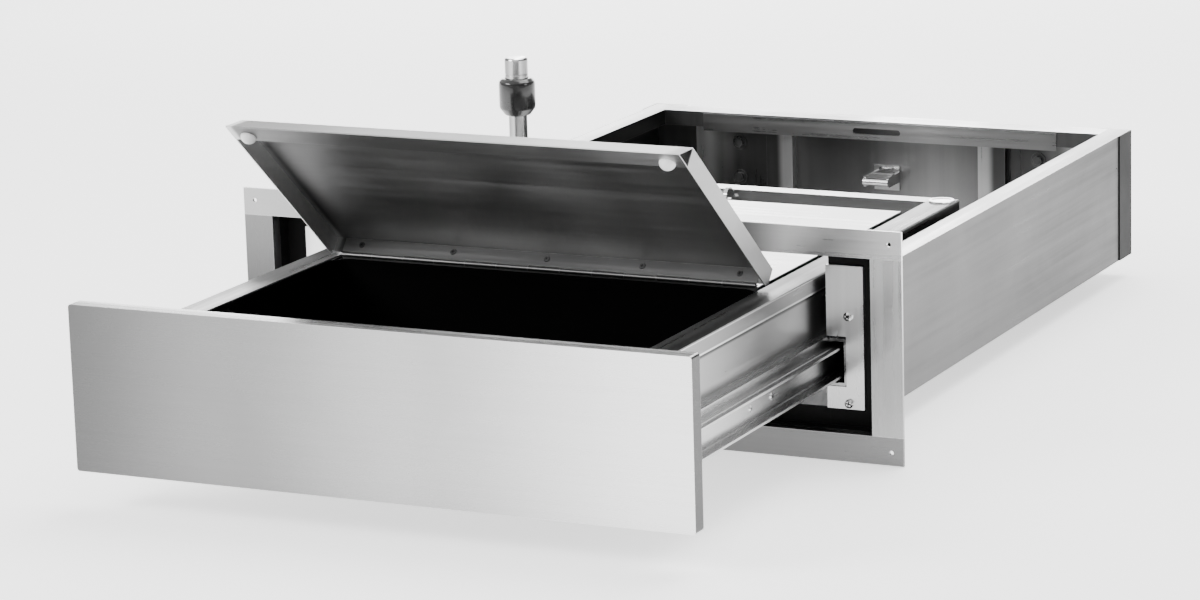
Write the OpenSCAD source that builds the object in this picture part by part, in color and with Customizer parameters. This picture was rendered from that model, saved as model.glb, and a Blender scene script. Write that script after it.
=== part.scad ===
// Deposit drawer for a service counter, shown pulled out towards the customer with its cover raised.
// X runs to the customer's right, Y into the wall and Z up.
// The origin is the middle of the wall trim's back face, so the wall's face is the plane Y = 0.

/* [Drawer face] */
// Width of the drawer's front panel
panel_w = 655; // [560:1:700]
// Height of the front panel
panel_h = 165; // [150:1:180]
// Depth of the folded edges round the front panel
panel_depth = 17.5; // [12:0.5:20]
// Thickness of the front panel's sheet
panel_gauge = 1.6; // [1.2:0.1:2.5]
// Rounding of the panel's corners, seen from the front
panel_corner_r = 3; // [1:0.5:8]
// Gap between the panel and the wall opening at the sides
panel_side_gap = 7.5; // [4:0.5:12]
// Gap between the panel and the wall opening below
panel_gap_below = 8; // [5:0.5:12]
// Gap between the panel and the wall opening above
panel_gap_above = 5; // [4:0.5:10]

/* [Wall trim] */
// Width of the two upright trim strips
trim_side_w = 33; // [25:0.5:50]
// Height of the top and bottom trim strips
trim_top_w = 28.5; // [22:0.5:45]
// Thickness of the trim strips
trim_t = 3; // [2:0.5:5]
// Depth of the edge that each trim strip turns back into the opening
trim_return = 12; // [8:1:20]
// Thickness of that turned edge
trim_gauge = 1.5; // [1:0.1:2.5]
// Diameter of the screw holes in the trim
trim_hole_d = 4.6; // [3:0.1:6]
// Distance of the screw holes from the trim's outer edges
trim_hole_in = 13; // [9:0.5:16]

/* [Sleeve] */
// Depth of the sleeve that lines the wall, up to its back flange
sleeve_depth = 32; // [25:1:60]
// Thickness of the sleeve's sheet
sleeve_gauge = 1.5; // [1:0.1:3]
// Width of the front plates beside the drawer
plate_w = 39.5; // [30:0.5:45]
// Distance of the front plates' ends inside the wall opening
plate_gap = 16.25; // [10:0.25:25]
// Thickness of the front plates
plate_t = 3; // [2:0.5:4]
// Diameter of the heads of the front plates' screws
plate_screw_d = 9; // [7:0.5:10]

/* [Housing] */
// Distance of the housing's sides inside the front panel's edges
housing_inset = 24.5; // [15:0.5:40]
// Distance of the housing's top below the drawer's rims
housing_below_rim = 6; // [3:0.5:12]
// Depth of the housing, from the wall's face to its rear
housing_depth = 880; // [860:5:1000]
// How far the housing's floor is below the wall opening
housing_drop = 3; // [1:0.5:10]
// Thickness of the housing's sheet
housing_gauge = 1.6; // [1.2:0.1:2.5]
// Width of the flanges turned in along the housing's top
housing_flange = 26; // [18:1:30]
// Height of the lips that hang from those flanges
flange_lip = 18; // [12:1:24]
// Width of the flange along the top of the rear wall
rear_flange = 35; // [25:1:50]
// Distance of the ends of the slotted rear strip from the housing's sides
rear_strip_inset = 78; // [50:1:120]
// Height of the slotted rear strip
rear_strip_h = 21; // [14:1:30]
// Height of the finger slot in that strip
finger_slot_h = 7; // [4:0.5:10]
// Length of the finger slot
finger_slot_len = 61; // [40:1:90]
// Width of the dark corner strips that wrap the housing's rear
corner_strip_w = 40; // [25:1:60]
// Thickness of the corner strips
corner_strip_t = 1.4; // [1:0.1:2]
// Distance of the rear brackets' outer edges from the housing's sides
bracket_inset = 53; // [30:1:80]
// Width of the rear brackets
bracket_w = 131; // [100:1:160]
// Thickness of the rear brackets
bracket_t = 1.8; // [1.2:0.1:3]
// Width of the channel folded along each rear bracket
channel_w = 34; // [24:1:44]
// Depth of that channel
channel_depth = 11; // [6:1:16]
// Diameter of the washers under the rear bolts
washer_d = 18; // [14:0.5:22]

/* [Drawer] */
// How far the drawer is pulled out, from the trim's front to the panel's front
extension = 403; // [380:1:420]
// Space between the drawer and the housing's rear when the drawer is home
drawer_rear_gap = 58; // [50:1:100]
// Distance of the rims below the panel's top
rim_below_panel = 23; // [20:0.5:30]
// Height of the drawer's floor above the panel's lower edge
drawer_up = 27; // [20:0.5:35]
// Width of the rims along the drawer's sides
rim_w = 29.5; // [24:0.5:34]
// How far the rims stand out beyond the drawer's sides
rim_overhang = 4.4; // [3:0.1:6]
// Height of the lip along the rims' outer edge
rim_lip = 16; // [10:0.5:20]
// Thickness of the drawer's sheet
sheet = 1.5; // [1:0.1:2]
// Length of the deck behind the front panel
front_deck = 84; // [60:1:90]
// Length of the recess between the rear deck and the rear rail
rear_recess = 55; // [50:1:70]
// Depth of that recess
recess_depth = 40; // [30:1:45]
// Width of the rear rail's top
rear_rail_w = 22; // [16:1:30]
// Width of the grooves beside the rear deck
deck_groove = 7; // [1:0.1:10]

/* [Tub] */
// Width of the ledge inside the tub's front, which the cover's pads meet
tub_ledge = 30; // [24:1:36]
// Depth of that ledge below the rims
ledge_drop = 6.5; // [5:0.5:9]
// Rounding of the tub's upright corners
tub_corner_r = 22; // [10:1:30]
// Thickness of the tub's walls
tub_wall = 2; // [1.5:0.1:3]
// Height of the tub above the drawer's underside
tub_up = 4; // [3:0.5:10]

/* [Cover] */
// Distance of the cover's hinge ahead of the wall trim's front
hinge_ahead = 39; // [34:1:60]
// How far the cover lies over the rims at each side
cover_overlap = 5.5; // [3:0.5:10]
// Space between the front deck's end and the tip of the closed cover's nose
cover_front_gap = 3.5; // [1:0.5:8]
// Height of the cover over its folded edges
cover_h = 21.5; // [18:0.5:22]
// Thickness of the cover's sheet
cover_gauge = 1.2; // [1:0.1:1.6]
// Slope of the cover's nose
nose_angle = 41; // [35:1:50]
// Width of the lip turned in under the nose
nose_lip = 24; // [18:1:28]
// Angle at which the open cover stands
cover_open = 40.6; // [35:0.1:45]
// Diameter of the hinge's knuckles
knuckle_d = 4.8; // [4:0.1:5.5]
// Diameter of the hinge pin
hinge_pin_d = 2.4; // [2:0.1:2.6]
// Thickness of the hinge's leaves
leaf_t = 1.2; // [1:0.1:1.5]
// Distance of the hinge's ends inside the cover's sides
hinge_inset = 12; // [6:1:30]
// Number of knuckles along the hinge
knuckle_count = 13; // [7:2:15]
// Number of screws in the cover's hinge leaf
hinge_screws = 5; // [3:1:7]
// Diameter of those screws' heads
hinge_screw_d = 7; // [5:0.5:8]
// Diameter of the cover's pads
pad_d = 16; // [12:0.5:18]
// Distance of the pads' middles from the cover's sides
pad_inset = 18; // [12:0.5:24]

/* [Slides] */
// Height of the ball slides
slide_h = 48; // [44:0.5:52]
// Thickness of the ball slides
slide_t = 18.5; // [17:0.5:19]
// Height of the slides' middle above the panel's lower edge
slide_up = 55.5; // [54:0.5:60]
// Distance of the slides' rear ends from the housing's rear
slide_end_gap = 98; // [60:1:160]
// Thickness of the blocks between the slides and the housing
mount_t = 6.4; // [4:0.1:10]
// Number of those blocks at each side
mount_count = 4; // [2:1:6]
// Width of the spacers between the slides and the drawer's sides
spacer_w = 13.9; // [8:0.1:18]
// Thickness of the slides' raceways
raceway_t = 3; // [2.6:0.1:3.4]
// Thickness of the slides' webs
web_t = 2; // [1.6:0.1:2.4]
// Diameter of the slides' balls
ball_d = 6.35; // [5.5:0.05:6.5]
// Number of balls in each row
ball_count = 8; // [4:1:12]
// Distance between balls
ball_pitch = 30; // [20:1:32]
// Diameter of the heads of the slides' screws
slide_screw_d = 8; // [6:0.5:9]

/* [Handle] */
// Diameter of the handle's post
post_d = 20.6; // [18:0.1:22]
// Thickness of the post's wall
post_wall = 2.5; // [1.5:0.1:4]
// Height of the grip's lower end above the rims
post_h = 67; // [50:1:90]
// Length of the post below the rims' top
post_below = 8; // [6:0.5:8]
// Diameter of the handle's grip
grip_d = 40.7; // [34:0.1:46]
// Height of the grip
grip_h = 42; // [34:1:50]
// Diameter of the release button
button_d = 25.7; // [22:0.1:28]
// Height of the button above the grip
button_h = 23; // [16:0.5:28]
// Travel of the button
button_travel = 6; // [4:0.5:7]
// Diameter of the rod under the button
rod_d = 6; // [4:0.5:8]
// Diameter of the round plates on the rims' rear ends
disc_d = 28.5; // [25:0.5:29]
// Thickness of those plates
disc_t = 1.6; // [1:0.1:3]

/* [Latch] */
// Diameter of the latch's cross shaft
shaft_d = 8; // [6:0.5:10]
// Depth of the shaft's middle below the rims
shaft_drop = 11; // [9:0.5:14]
// Length of the crank arm below the handle
crank_len = 18; // [16:0.5:20]
// Thickness of the ears that carry the shaft's end
ear_t = 4; // [2:0.5:6]
// Thickness of the latch's hook
hook_t = 5; // [4:0.5:7]
// Height of the keeper's bar above the housing's floor
keeper_up = 74.5; // [70:0.5:80]
// Diameter of the keeper's bar
keeper_bar_d = 9; // [6:0.5:12]
// Width of the keeper
keeper_w = 32; // [24:1:44]
// How far the keeper stands out from the rear wall
keeper_reach = 42; // [30:1:46]
// Thickness of the keeper's plates
keeper_t = 3; // [2:0.5:5]

/* [Hidden] */
$fn = 48;
// Overlap of joined solids, gap between parts that pass, overrun of cuts and slack of screw holes
tiny = 0.01;
gap = 0.3;
over = 1;
slack = 0.05;

// Wall opening, trim and sleeve
opening_w = panel_w + 2 * panel_side_gap;
opening_h = panel_h + panel_gap_below + panel_gap_above;
open_x = opening_w / 2;
open_z = opening_h / 2;
trim_w = opening_w + 2 * trim_side_w;
trim_h = opening_h + 2 * trim_top_w;
hole_x = trim_w / 2 - trim_hole_in;
hole_z = trim_h / 2 - trim_hole_in;
sleeve_x = open_x + trim_gauge;
sleeve_z = open_z + trim_gauge;
sleeve_out_x = sleeve_x + sleeve_gauge;
sleeve_out_z = sleeve_z + sleeve_gauge;
sleeve_end = sleeve_depth + sleeve_gauge;

// Heights of the panel, the rims, the drawer and the housing
panel_z = -open_z + panel_gap_below;
panel_mid = panel_z + panel_h / 2;
rim_z = panel_z + panel_h - rim_below_panel;
drawer_z = panel_z + drawer_up;
floor_z = -open_z - housing_drop;
top_z = rim_z - housing_below_rim;
housing_h = top_z - floor_z;

// Widths from the housing inwards to the slides, the spacers and the drawer
side_x = panel_w / 2 - housing_inset;
side_in = side_x - housing_gauge;
flange_x = side_x - housing_flange;
slide_out = side_in - mount_t;
slide_in = slide_out - slide_t;
wall_out = slide_in - spacer_w;
wall_in = wall_out - sheet;
rim_out = wall_out + rim_overhang;
rim_in = rim_out - rim_w;

// Depths of the drawer
front_y = -trim_t - extension;
back_y = front_y + panel_depth;
drawer_len = housing_depth - drawer_rear_gap + trim_t;
rear_y = front_y + drawer_len;
rail_y = rear_y - rear_rail_w;
deck_end = rail_y - rear_recess;
rear_in = housing_depth - housing_gauge;
recess_z = rim_z - recess_depth;

// Screws: their heads and shanks as shares of the head's diameter
head_share = 0.22;
crown_share = 0.14;
crown_d_share = 0.62;
shank_share = 0.5;
cross_share = 0.6;
cross_w_share = 0.12;
low_head_share = 0.14;
low_top_share = 0.8;
plate_hole_r = plate_screw_d * shank_share / 2 + slack;
slide_hole_r = slide_screw_d * shank_share / 2 + slack;
hinge_hole_r = hinge_screw_d * shank_share / 2 + slack;

// Front plates beside the drawer, notched for the slides
plate_in = slide_in - sheet - gap;
plate_h = opening_h - 2 * plate_gap;
plate_screw_shares = [0.15, -0.46];
plate_rows = [for (share = plate_screw_shares) plate_h * share];
plate_screw_x = slide_out + mount_t / 2;
slide_z = panel_z + slide_up;
notch_gap = 0.8;
notch_low = slide_z - slide_h / 2 - notch_gap;
notch_high = slide_z + slide_h / 2 + sheet + notch_gap;

// Slides
groove = 0.6;
run = 0.06;
ball_r = ball_d / 2;
ball_x_share = 0.45;
ball_x = slide_in + slide_t * ball_x_share;
ball_z = slide_h / 2 - raceway_t - ball_r + groove;
inner_z = ball_z - ball_r + groove;
cage_len = ball_pitch * ball_count;
slide_y0 = sleeve_depth - plate_t + gap;
slide_y1 = housing_depth - slide_end_gap;
mount_pitch = (slide_y1 - sleeve_end) / mount_count;
mount_rows = [for (k = [0:mount_count - 1]) sleeve_end + mount_pitch * (k + 0.5)];
rail_shares = [0.2725, 0.3345, 0.6, 0.662, 0.9, 0.962];
rail_rows = [for (share = rail_shares) back_y + (rear_y - back_y) * share];

// Cover and hinge
knuckle_r = knuckle_d / 2;
hinge_y = -trim_t - hinge_ahead;
hinge_z = rim_z + knuckle_r + gap / 3;
cover_half = rim_in + cover_overlap;
cover_lift = 1;
cover_edge = rim_z + cover_lift - hinge_z;
cover_top = cover_edge + cover_h;
cover_len = hinge_y - back_y - front_deck - cover_front_gap;
nose_drop = cover_h - cover_gauge;
nose_run = nose_drop / tan(nose_angle);
plate_end = cover_len - nose_run;
fold_z = knuckle_r + gap;
leaf_len = 2 * (cover_half - hinge_inset);
leaf_h = cover_top - cover_gauge - gap;
leaf_drop = 30;
screw_row_share = 0.62;
screw_in_share = 0.043;
knuckle_len = leaf_len / knuckle_count;
knuckle_gap = 0.15;
hinge_back_y = hinge_y + knuckle_r + gap;

// Tub
tub_y0 = back_y + front_deck;
tub_y1 = hinge_y - knuckle_r - 2 * gap;
tub_z = drawer_z + tub_up;
ledge_z = rim_z - ledge_drop;

// Handle and latch
post_x = rim_out - rim_w / 2;
post_y = rear_y - disc_d / 2;
grip_z = rim_z + post_h;
grip_floor_share = 0.32;
grip_floor = grip_h * grip_floor_share;
shaft_y = post_y - crank_len;
shaft_z = rim_z - shaft_drop;
shaft_r = shaft_d / 2;
hub_r = shaft_r + 3;
rod_r = rod_d / 2;
ear_in = hook_t / 2 + 6.5;
bar_r = keeper_bar_d / 2;
bar_z = floor_z + keeper_up;
slot_half = hook_t;

// Small tools

module on_side(side) {
    mirror([side < 0 ? 1 : 0, 0, 0]) children();
}

module box(x0, x1, y0, y1, z0, z1) {
    translate([x0, y0, z0]) cube([x1 - x0, y1 - y0, z1 - z0]);
}

// A rod along X or Y
module rod_x(x0, x1, r) {
    translate([x0, 0, 0]) rotate([0, 90, 0]) cylinder(r = r, h = x1 - x0);
}

module rod_y(y0, y1, r) {
    translate([0, y0, 0]) rotate([-90, 0, 0]) cylinder(r = r, h = y1 - y0);
}

// A section drawn in X and Z, run along Y
module run_y(y0, y1) {
    translate([0, y1, 0]) rotate([90, 0, 0]) linear_extrude(y1 - y0) children();
}

// A section drawn in Y and Z, run along X
module run_x(x0, x1) {
    translate([x0, 0, 0]) rotate([90, 0, 90]) linear_extrude(x1 - x0) children();
}

module rounded_rect(w, h, r) {
    square([w - 2 * r, h], center = true);
    square([w, h - 2 * r], center = true);
    for (sx = [-1, 1])
        for (sz = [-1, 1])
            translate([sx * (w / 2 - r), sz * (h / 2 - r)]) circle(r);
}

// A pan-head screw that points along -Z, with its head's seat at Z = 0 and a cross recess
module pan_screw(d, shank) {
    difference() {
        union() {
            cylinder(d = d, h = d * head_share);
            translate([0, 0, d * head_share])
                cylinder(d1 = d, d2 = d * crown_d_share, h = d * crown_share);
            translate([0, 0, -shank]) cylinder(d = d * shank_share, h = shank);
        }
        for (turn = [0, 90])
            rotate([0, 0, turn])
                translate([-d * cross_share / 2, -d * cross_w_share / 2, d * head_share * 0.8])
                    cube([d * cross_share, d * cross_w_share, d]);
    }
}

// A low screw whose head's seat is at Z = 0 and whose shank points along -Z
module low_screw(d, shank) {
    cylinder(d1 = d, d2 = d * low_top_share, h = d * low_head_share);
    translate([0, 0, -shank]) cylinder(d = d * shank_share, h = shank + tiny);
}

// Wall trim

module trim_long(side) {
    outer = side * trim_h / 2;
    inner = side * open_z;
    color("lightgray")
    difference() {
        union() {
            box(-trim_w / 2, trim_w / 2, -trim_t, 0, min(outer, inner), max(outer, inner));
            box(-open_x, open_x, -tiny, trim_return, min(inner, inner + side * trim_gauge),
                max(inner, inner + side * trim_gauge));
        }
        for (sx = [-1, 1])
            translate([sx * hole_x, 0, side * hole_z]) rod_y(-trim_t - over, over, trim_hole_d / 2);
    }
}

module trim_upright(side) {
    color("lightgray")
    on_side(side) {
        box(open_x, trim_w / 2, -trim_t, 0, -open_z, open_z);
        box(open_x, open_x + trim_gauge, -tiny, trim_return, -open_z, open_z);
    }
}

// The sleeve through the wall: its top sheet
module sleeve_top() {
    color("dimgray")
    box(-sleeve_out_x, sleeve_out_x, 0, sleeve_end, sleeve_z, sleeve_out_z);
}

// Its bottom sheet, with the flange that stands up under the drawer
module sleeve_bottom() {
    color("dimgray")
    union() {
        box(-sleeve_out_x, sleeve_out_x, 0, sleeve_end, -sleeve_out_z, -sleeve_z);
        box(-slide_in, slide_in, sleeve_depth, sleeve_end, -sleeve_z - tiny, -plate_h / 2);
    }
}

// Its side sheets, with the flange that carries the front plate
module sleeve_side(side) {
    color("dimgray")
    on_side(side)
        difference() {
            union() {
                box(sleeve_x, sleeve_out_x, 0, sleeve_end, -sleeve_z, sleeve_z);
                box(slide_in, sleeve_x + tiny, sleeve_depth, sleeve_end, -sleeve_z, sleeve_z);
            }
            box(slide_in - over, slide_out + gap, sleeve_depth - over, sleeve_end + over,
                notch_low, notch_high);
            for (z = plate_rows)
                translate([plate_screw_x, 0, z])
                    rod_y(sleeve_depth - over, sleeve_end + over, plate_hole_r);
        }
}

// The plate that closes the sleeve beside the drawer, notched for the slide's end
module front_plate(side) {
    color("silver")
    on_side(side)
        difference() {
            box(plate_in, plate_in + plate_w, sleeve_depth - plate_t, sleeve_depth,
                -plate_h / 2, plate_h / 2);
            box(plate_in - over, slide_out + gap, sleeve_depth - plate_t - over, sleeve_depth + over,
                notch_low, notch_high);
            for (z = plate_rows)
                translate([plate_screw_x, 0, z])
                    rod_y(sleeve_depth - plate_t - over, sleeve_depth + over, plate_hole_r);
        }
}

module plate_screws() {
    color("lightgray")
    for (side = [-1, 1])
        on_side(side)
            for (z = plate_rows)
                translate([plate_screw_x, sleeve_depth - plate_t, z])
                    rotate([90, 0, 0]) pan_screw(plate_screw_d, plate_t + 2 * sleeve_gauge);
}

// Housing behind the wall

// A side of the housing with its top flange, the lip under it and its foot flange
module housing_wall(side) {
    g = housing_gauge;
    dimple_y = housing_depth - corner_strip_w * 1.2;
    dimple_share = 0.75;
    color("darkgray")
    on_side(side)
        difference() {
            run_y(sleeve_end, rear_in)
                polygon([
                    [side_x, floor_z],
                    [side_x, top_z],
                    [flange_x, top_z],
                    [flange_x, top_z - flange_lip],
                    [flange_x + g, top_z - flange_lip],
                    [flange_x + g, top_z - g],
                    [side_in, top_z - g],
                    [side_in, floor_z + 2 * g],
                    [flange_x, floor_z + 2 * g],
                    [flange_x, floor_z + g],
                    [side_in, floor_z + g],
                    [side_in, floor_z]
                ]);
            translate([0, dimple_y, floor_z + housing_h * dimple_share])
                rod_x(side_x - g / 2, side_x + over, g);
        }
}

module housing_floor() {
    color("darkgray")
    box(-side_in, side_in, sleeve_end, rear_in, floor_z, floor_z + housing_gauge);
}

// The rear wall, its top flange and the lip that hangs from it
module housing_rear() {
    g = housing_gauge;
    lip_y = housing_depth - rear_flange;
    color("darkgray")
    difference() {
        union() {
            box(-side_x, side_x, rear_in, housing_depth, floor_z, top_z);
            box(-flange_x, flange_x, lip_y, rear_in + tiny, top_z - g, top_z);
            box(-flange_x, flange_x, lip_y, lip_y + g, top_z - flange_lip, top_z - g + tiny);
        }
        finger_slot(lip_y - over, lip_y + g + over);
        for (sx = [-1, 1])
            for (z = bolt_rows)
                translate([sx * bolt_x, 0, z]) rod_y(rear_in - over, housing_depth + over, bolt_r + slack);
    }
}

// The finger slot, cut through both the rear wall's lip and the strip on it
slot_drop_share = 0.6;
slot_z = top_z - housing_gauge - flange_lip * slot_drop_share;
module finger_slot(y0, y1) {
    slot_r = finger_slot_h / 2;
    slot_x = finger_slot_len / 2 - slot_r;
    for (sx = [-1, 1])
        translate([sx * slot_x, 0, slot_z]) rod_y(y0, y1, slot_r);
    box(-slot_x, slot_x, y0, y1, slot_z - slot_r, slot_z + slot_r);
}

// The strip along the rear wall's lip
module rear_strip() {
    half = side_x - rear_strip_inset;
    y1 = housing_depth - rear_flange;
    y0 = y1 - housing_gauge;
    color("darkgray")
    difference() {
        box(-half, half, y0, y1, top_z - housing_gauge - rear_strip_h, top_z - housing_gauge);
        finger_slot(y0 - over, y1 + over);
    }
}

// Rear bolts, their washers and their places in the brackets
bolt_share = 0.4;
bolt_x = side_x - bracket_inset - bracket_w + channel_w + (bracket_w - channel_w) * bolt_share;
bolt_row_shares = [0.72, 0.43];
bolt_rows = [for (share = bolt_row_shares) floor_z + housing_h * share];
bolt_r = washer_d / 6;

module corner_strip(side) {
    y0 = housing_depth - corner_strip_w;
    y1 = housing_depth + corner_strip_t;
    color("dimgray")
    on_side(side)
        union() {
            box(side_x, side_x + corner_strip_t, y0, y1, floor_z, top_z);
            box(side_x - corner_strip_w, side_x + tiny, housing_depth, y1, floor_z, top_z);
        }
}

// A bolted plate on the rear wall with a folded channel along its inner edge
module rear_bracket(side) {
    t = bracket_t;
    outer = side_x - bracket_inset;
    inner = outer - bracket_w;
    fold = inner + channel_w;
    low = floor_z + 3 * housing_gauge;
    high = top_z - housing_gauge - gap;
    color("silver")
    on_side(side)
        difference() {
            translate([0, 0, low]) linear_extrude(high - low)
                polygon([
                    [inner, rear_in - channel_depth],
                    [fold, rear_in - channel_depth],
                    [fold, rear_in - t],
                    [outer, rear_in - t],
                    [outer, rear_in],
                    [fold - t, rear_in],
                    [fold - t, rear_in - channel_depth + t],
                    [inner + t, rear_in - channel_depth + t],
                    [inner + t, rear_in],
                    [inner, rear_in]
                ]);
            for (z = bolt_rows)
                translate([bolt_x, 0, z]) rod_y(rear_in - t - over, rear_in + over, bolt_r + slack);
        }
}

module rear_bolts() {
    washer_h_share = 0.09;
    bolt_head_share = 0.32;
    washer_h = washer_d * washer_h_share;
    y0 = rear_in - bracket_t - washer_h;
    tail = 2 * bolt_r;
    color("dimgray")
    for (side = [-1, 1])
        for (z = bolt_rows)
            translate([side * bolt_x, 0, z]) {
                rod_y(y0, y0 + washer_h, washer_d / 2);
                rotate([0, 15, 0]) translate([0, y0 - tail * 0.7, 0]) rotate([-90, 0, 0])
                    cylinder(r = washer_d * bolt_head_share, h = tail * 0.7 + tiny, $fn = 6);
                rod_y(y0 - tiny, housing_depth + tail, bolt_r);
            }
}

// The keeper whose bar the latch's hook takes when the drawer is home
module keeper() {
    bar_y = rear_in - keeper_reach + bar_r;
    cheek_h = bar_r * 1.4;
    plate_low = keeper_w / 2;
    plate_high = keeper_w * 0.42;
    color("silver")
    difference() {
        union() {
            box(-keeper_w / 2, keeper_w / 2, rear_in - keeper_t, rear_in,
                bar_z - plate_low, bar_z + plate_high);
            for (side = [-1, 1])
                on_side(side)
                    box(keeper_w / 2 - keeper_t, keeper_w / 2, bar_y, rear_in - keeper_t + tiny,
                        bar_z - cheek_h, bar_z + cheek_h);
            translate([0, bar_y, bar_z]) rod_x(-keeper_w / 2, keeper_w / 2, bar_r);
        }
        for (side = [-1, 1])
            translate([side * keeper_w / 4, 0, bar_z + plate_high * 0.7])
                rod_y(rear_in - keeper_t - over, rear_in + over, keeper_t * 0.7);
    }
}

// Slides

module slide_mount(side) {
    half = mount_pitch / 4;
    high = slide_h * 0.31;
    color("dimgray")
    on_side(side)
        for (y = mount_rows)
            difference() {
                box(slide_out, side_in, y - half, y + half, slide_z - high, slide_z + high);
                translate([0, y, slide_z]) rod_x(slide_out - over, side_in + over, slide_hole_r);
            }
}

// The slide's outer member with a groove for the balls above and below
module slide_outer(side) {
    half = slide_h / 2;
    lip = slide_in + gap;
    edge = raceway_t / 2;
    turn = raceway_t * 0.2;
    color("darkgray")
    on_side(side)
        difference() {
            run_y(slide_y0, slide_y1)
                difference() {
                    polygon([
                        [slide_out, slide_z - half + edge],
                        [slide_out, slide_z + half - edge],
                        [slide_out - edge, slide_z + half],
                        [lip + edge, slide_z + half],
                        [lip, slide_z + half - edge],
                        [lip, slide_z + half - raceway_t - turn],
                        [lip + raceway_t, slide_z + half - raceway_t - turn],
                        [lip + raceway_t + turn, slide_z + half - raceway_t],
                        [slide_out - web_t, slide_z + half - raceway_t],
                        [slide_out - web_t, slide_z - half + raceway_t],
                        [lip + raceway_t + turn, slide_z - half + raceway_t],
                        [lip + raceway_t, slide_z - half + raceway_t + turn],
                        [lip, slide_z - half + raceway_t + turn],
                        [lip, slide_z - half + edge],
                        [lip + edge, slide_z - half],
                        [slide_out - edge, slide_z - half]
                    ]);
                    for (sz = [-1, 1])
                        translate([ball_x, slide_z + sz * ball_z]) circle(ball_r + run);
                }
            for (y = mount_rows)
                translate([0, y, slide_z]) {
                    rod_x(slide_out - web_t - over, slide_out + over, slide_hole_r);
                    rod_x(slide_out - web_t - over, slide_out - web_t + slide_screw_d * low_head_share,
                          slide_screw_d / 2 + slack);
                }
        }
}

// Screws sunk in the outer members' webs
module slide_screws() {
    seat = slide_out - web_t + slide_screw_d * low_head_share;
    color("lightgray")
    for (side = [-1, 1])
        on_side(side)
            for (y = mount_rows)
                translate([seat, y, slide_z]) rotate([0, -90, 0])
                    low_screw(slide_screw_d, side_in - seat);
}

// The slide's inner member, which the drawer carries
module slide_inner(side) {
    x_end = slide_out - web_t - ball_d * 0.4;
    t = raceway_t * 0.8;
    turn = raceway_t * 0.3;
    color("silver")
    on_side(side)
        difference() {
            run_y(back_y + raceway_t, rear_y - 2 * raceway_t)
                difference() {
                    polygon([
                        [slide_in, slide_z - inner_z],
                        [x_end, slide_z - inner_z],
                        [x_end, slide_z - inner_z + t],
                        [slide_in + web_t + turn, slide_z - inner_z + t],
                        [slide_in + web_t, slide_z - inner_z + t + turn],
                        [slide_in + web_t, slide_z + inner_z - t - turn],
                        [slide_in + web_t + turn, slide_z + inner_z - t],
                        [x_end, slide_z + inner_z - t],
                        [x_end, slide_z + inner_z],
                        [slide_in, slide_z + inner_z]
                    ]);
                    for (sz = [-1, 1])
                        translate([ball_x, slide_z + sz * ball_z]) circle(ball_r + run);
                }
            for (y = rail_rows)
                translate([0, y, slide_z])
                    rod_x(slide_in - over, slide_in + web_t + over, slide_hole_r);
        }
}

// The folded channel that carries the slide's inner member along the drawer's side
module rail_spacer(side) {
    half = slide_h / 2;
    ends = sheet / 2;
    color("gainsboro")
    on_side(side)
        difference() {
            run_y(back_y + ends, rear_y - raceway_t)
                polygon([
                    [wall_out, slide_z - half],
                    [slide_in, slide_z - half],
                    [slide_in, slide_z + half + sheet],
                    [wall_out, slide_z + half + sheet],
                    [wall_out, slide_z + half],
                    [slide_in - sheet, slide_z + half],
                    [slide_in - sheet, slide_z - half + sheet],
                    [wall_out, slide_z - half + sheet]
                ]);
            for (y = rail_rows)
                translate([0, y, slide_z]) rod_x(slide_in - sheet - over, slide_in + over, slide_hole_r);
        }
}

module rail_screws() {
    color("lightgray")
    for (side = [-1, 1])
        on_side(side)
            for (y = rail_rows)
                translate([slide_in + web_t, y, slide_z]) rotate([0, 90, 0])
                    low_screw(slide_screw_d, web_t + 2 * sheet);
}

// The balls of one slide and the retainer that carries them
module ball_cage(side) {
    y0 = sleeve_end + ball_pitch;
    t = ball_d * 0.17;
    x0 = ball_x - ball_r - 3 * gap;
    x1 = slide_out - web_t - 2 * gap;
    color("black")
    on_side(side) {
        difference() {
            run_y(y0, y0 + cage_len)
                polygon([
                    [x0, slide_z + ball_z - t / 2],
                    [x1 - t, slide_z + ball_z - t / 2],
                    [x1 - t, slide_z - ball_z + t / 2],
                    [x0, slide_z - ball_z + t / 2],
                    [x0, slide_z - ball_z - t / 2],
                    [x1, slide_z - ball_z - t / 2],
                    [x1, slide_z + ball_z + t / 2],
                    [x0, slide_z + ball_z + t / 2]
                ]);
            for (k = [0:ball_count - 1])
                for (sz = [-1, 1])
                    translate([ball_x, y0 + ball_pitch * (k + 0.5), slide_z + sz * ball_z - 2 * t])
                        cylinder(r = ball_r - slack, h = 4 * t);
        }
        for (k = [0:ball_count - 1])
            for (sz = [-1, 1])
                translate([ball_x, y0 + ball_pitch * (k + 0.5), slide_z + sz * ball_z])
                    sphere(r = ball_r);
    }
}

// Drawer

// A shallow tray on its side: the face and four folded edges
module front_panel() {
    color("lightgray")
    translate([0, back_y, panel_mid]) rotate([90, 0, 0])
        difference() {
            linear_extrude(panel_depth) rounded_rect(panel_w, panel_h, panel_corner_r);
            translate([0, 0, -over])
                linear_extrude(panel_depth - panel_gauge + over)
                    rounded_rect(panel_w - 2 * panel_gauge, panel_h - 2 * panel_gauge,
                                 panel_corner_r - panel_gauge / 2);
        }
}

// The deck behind the front panel and the drawer's front wall
module front_deck_plate() {
    deck_front = front_y + panel_gauge;
    color("silver") {
        box(-rim_in, rim_in, deck_front, tub_y0 - tub_wall, rim_z - sheet, rim_z);
        box(-rim_in, rim_in, deck_front, deck_front + sheet, drawer_z, rim_z - tiny);
    }
}

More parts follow.
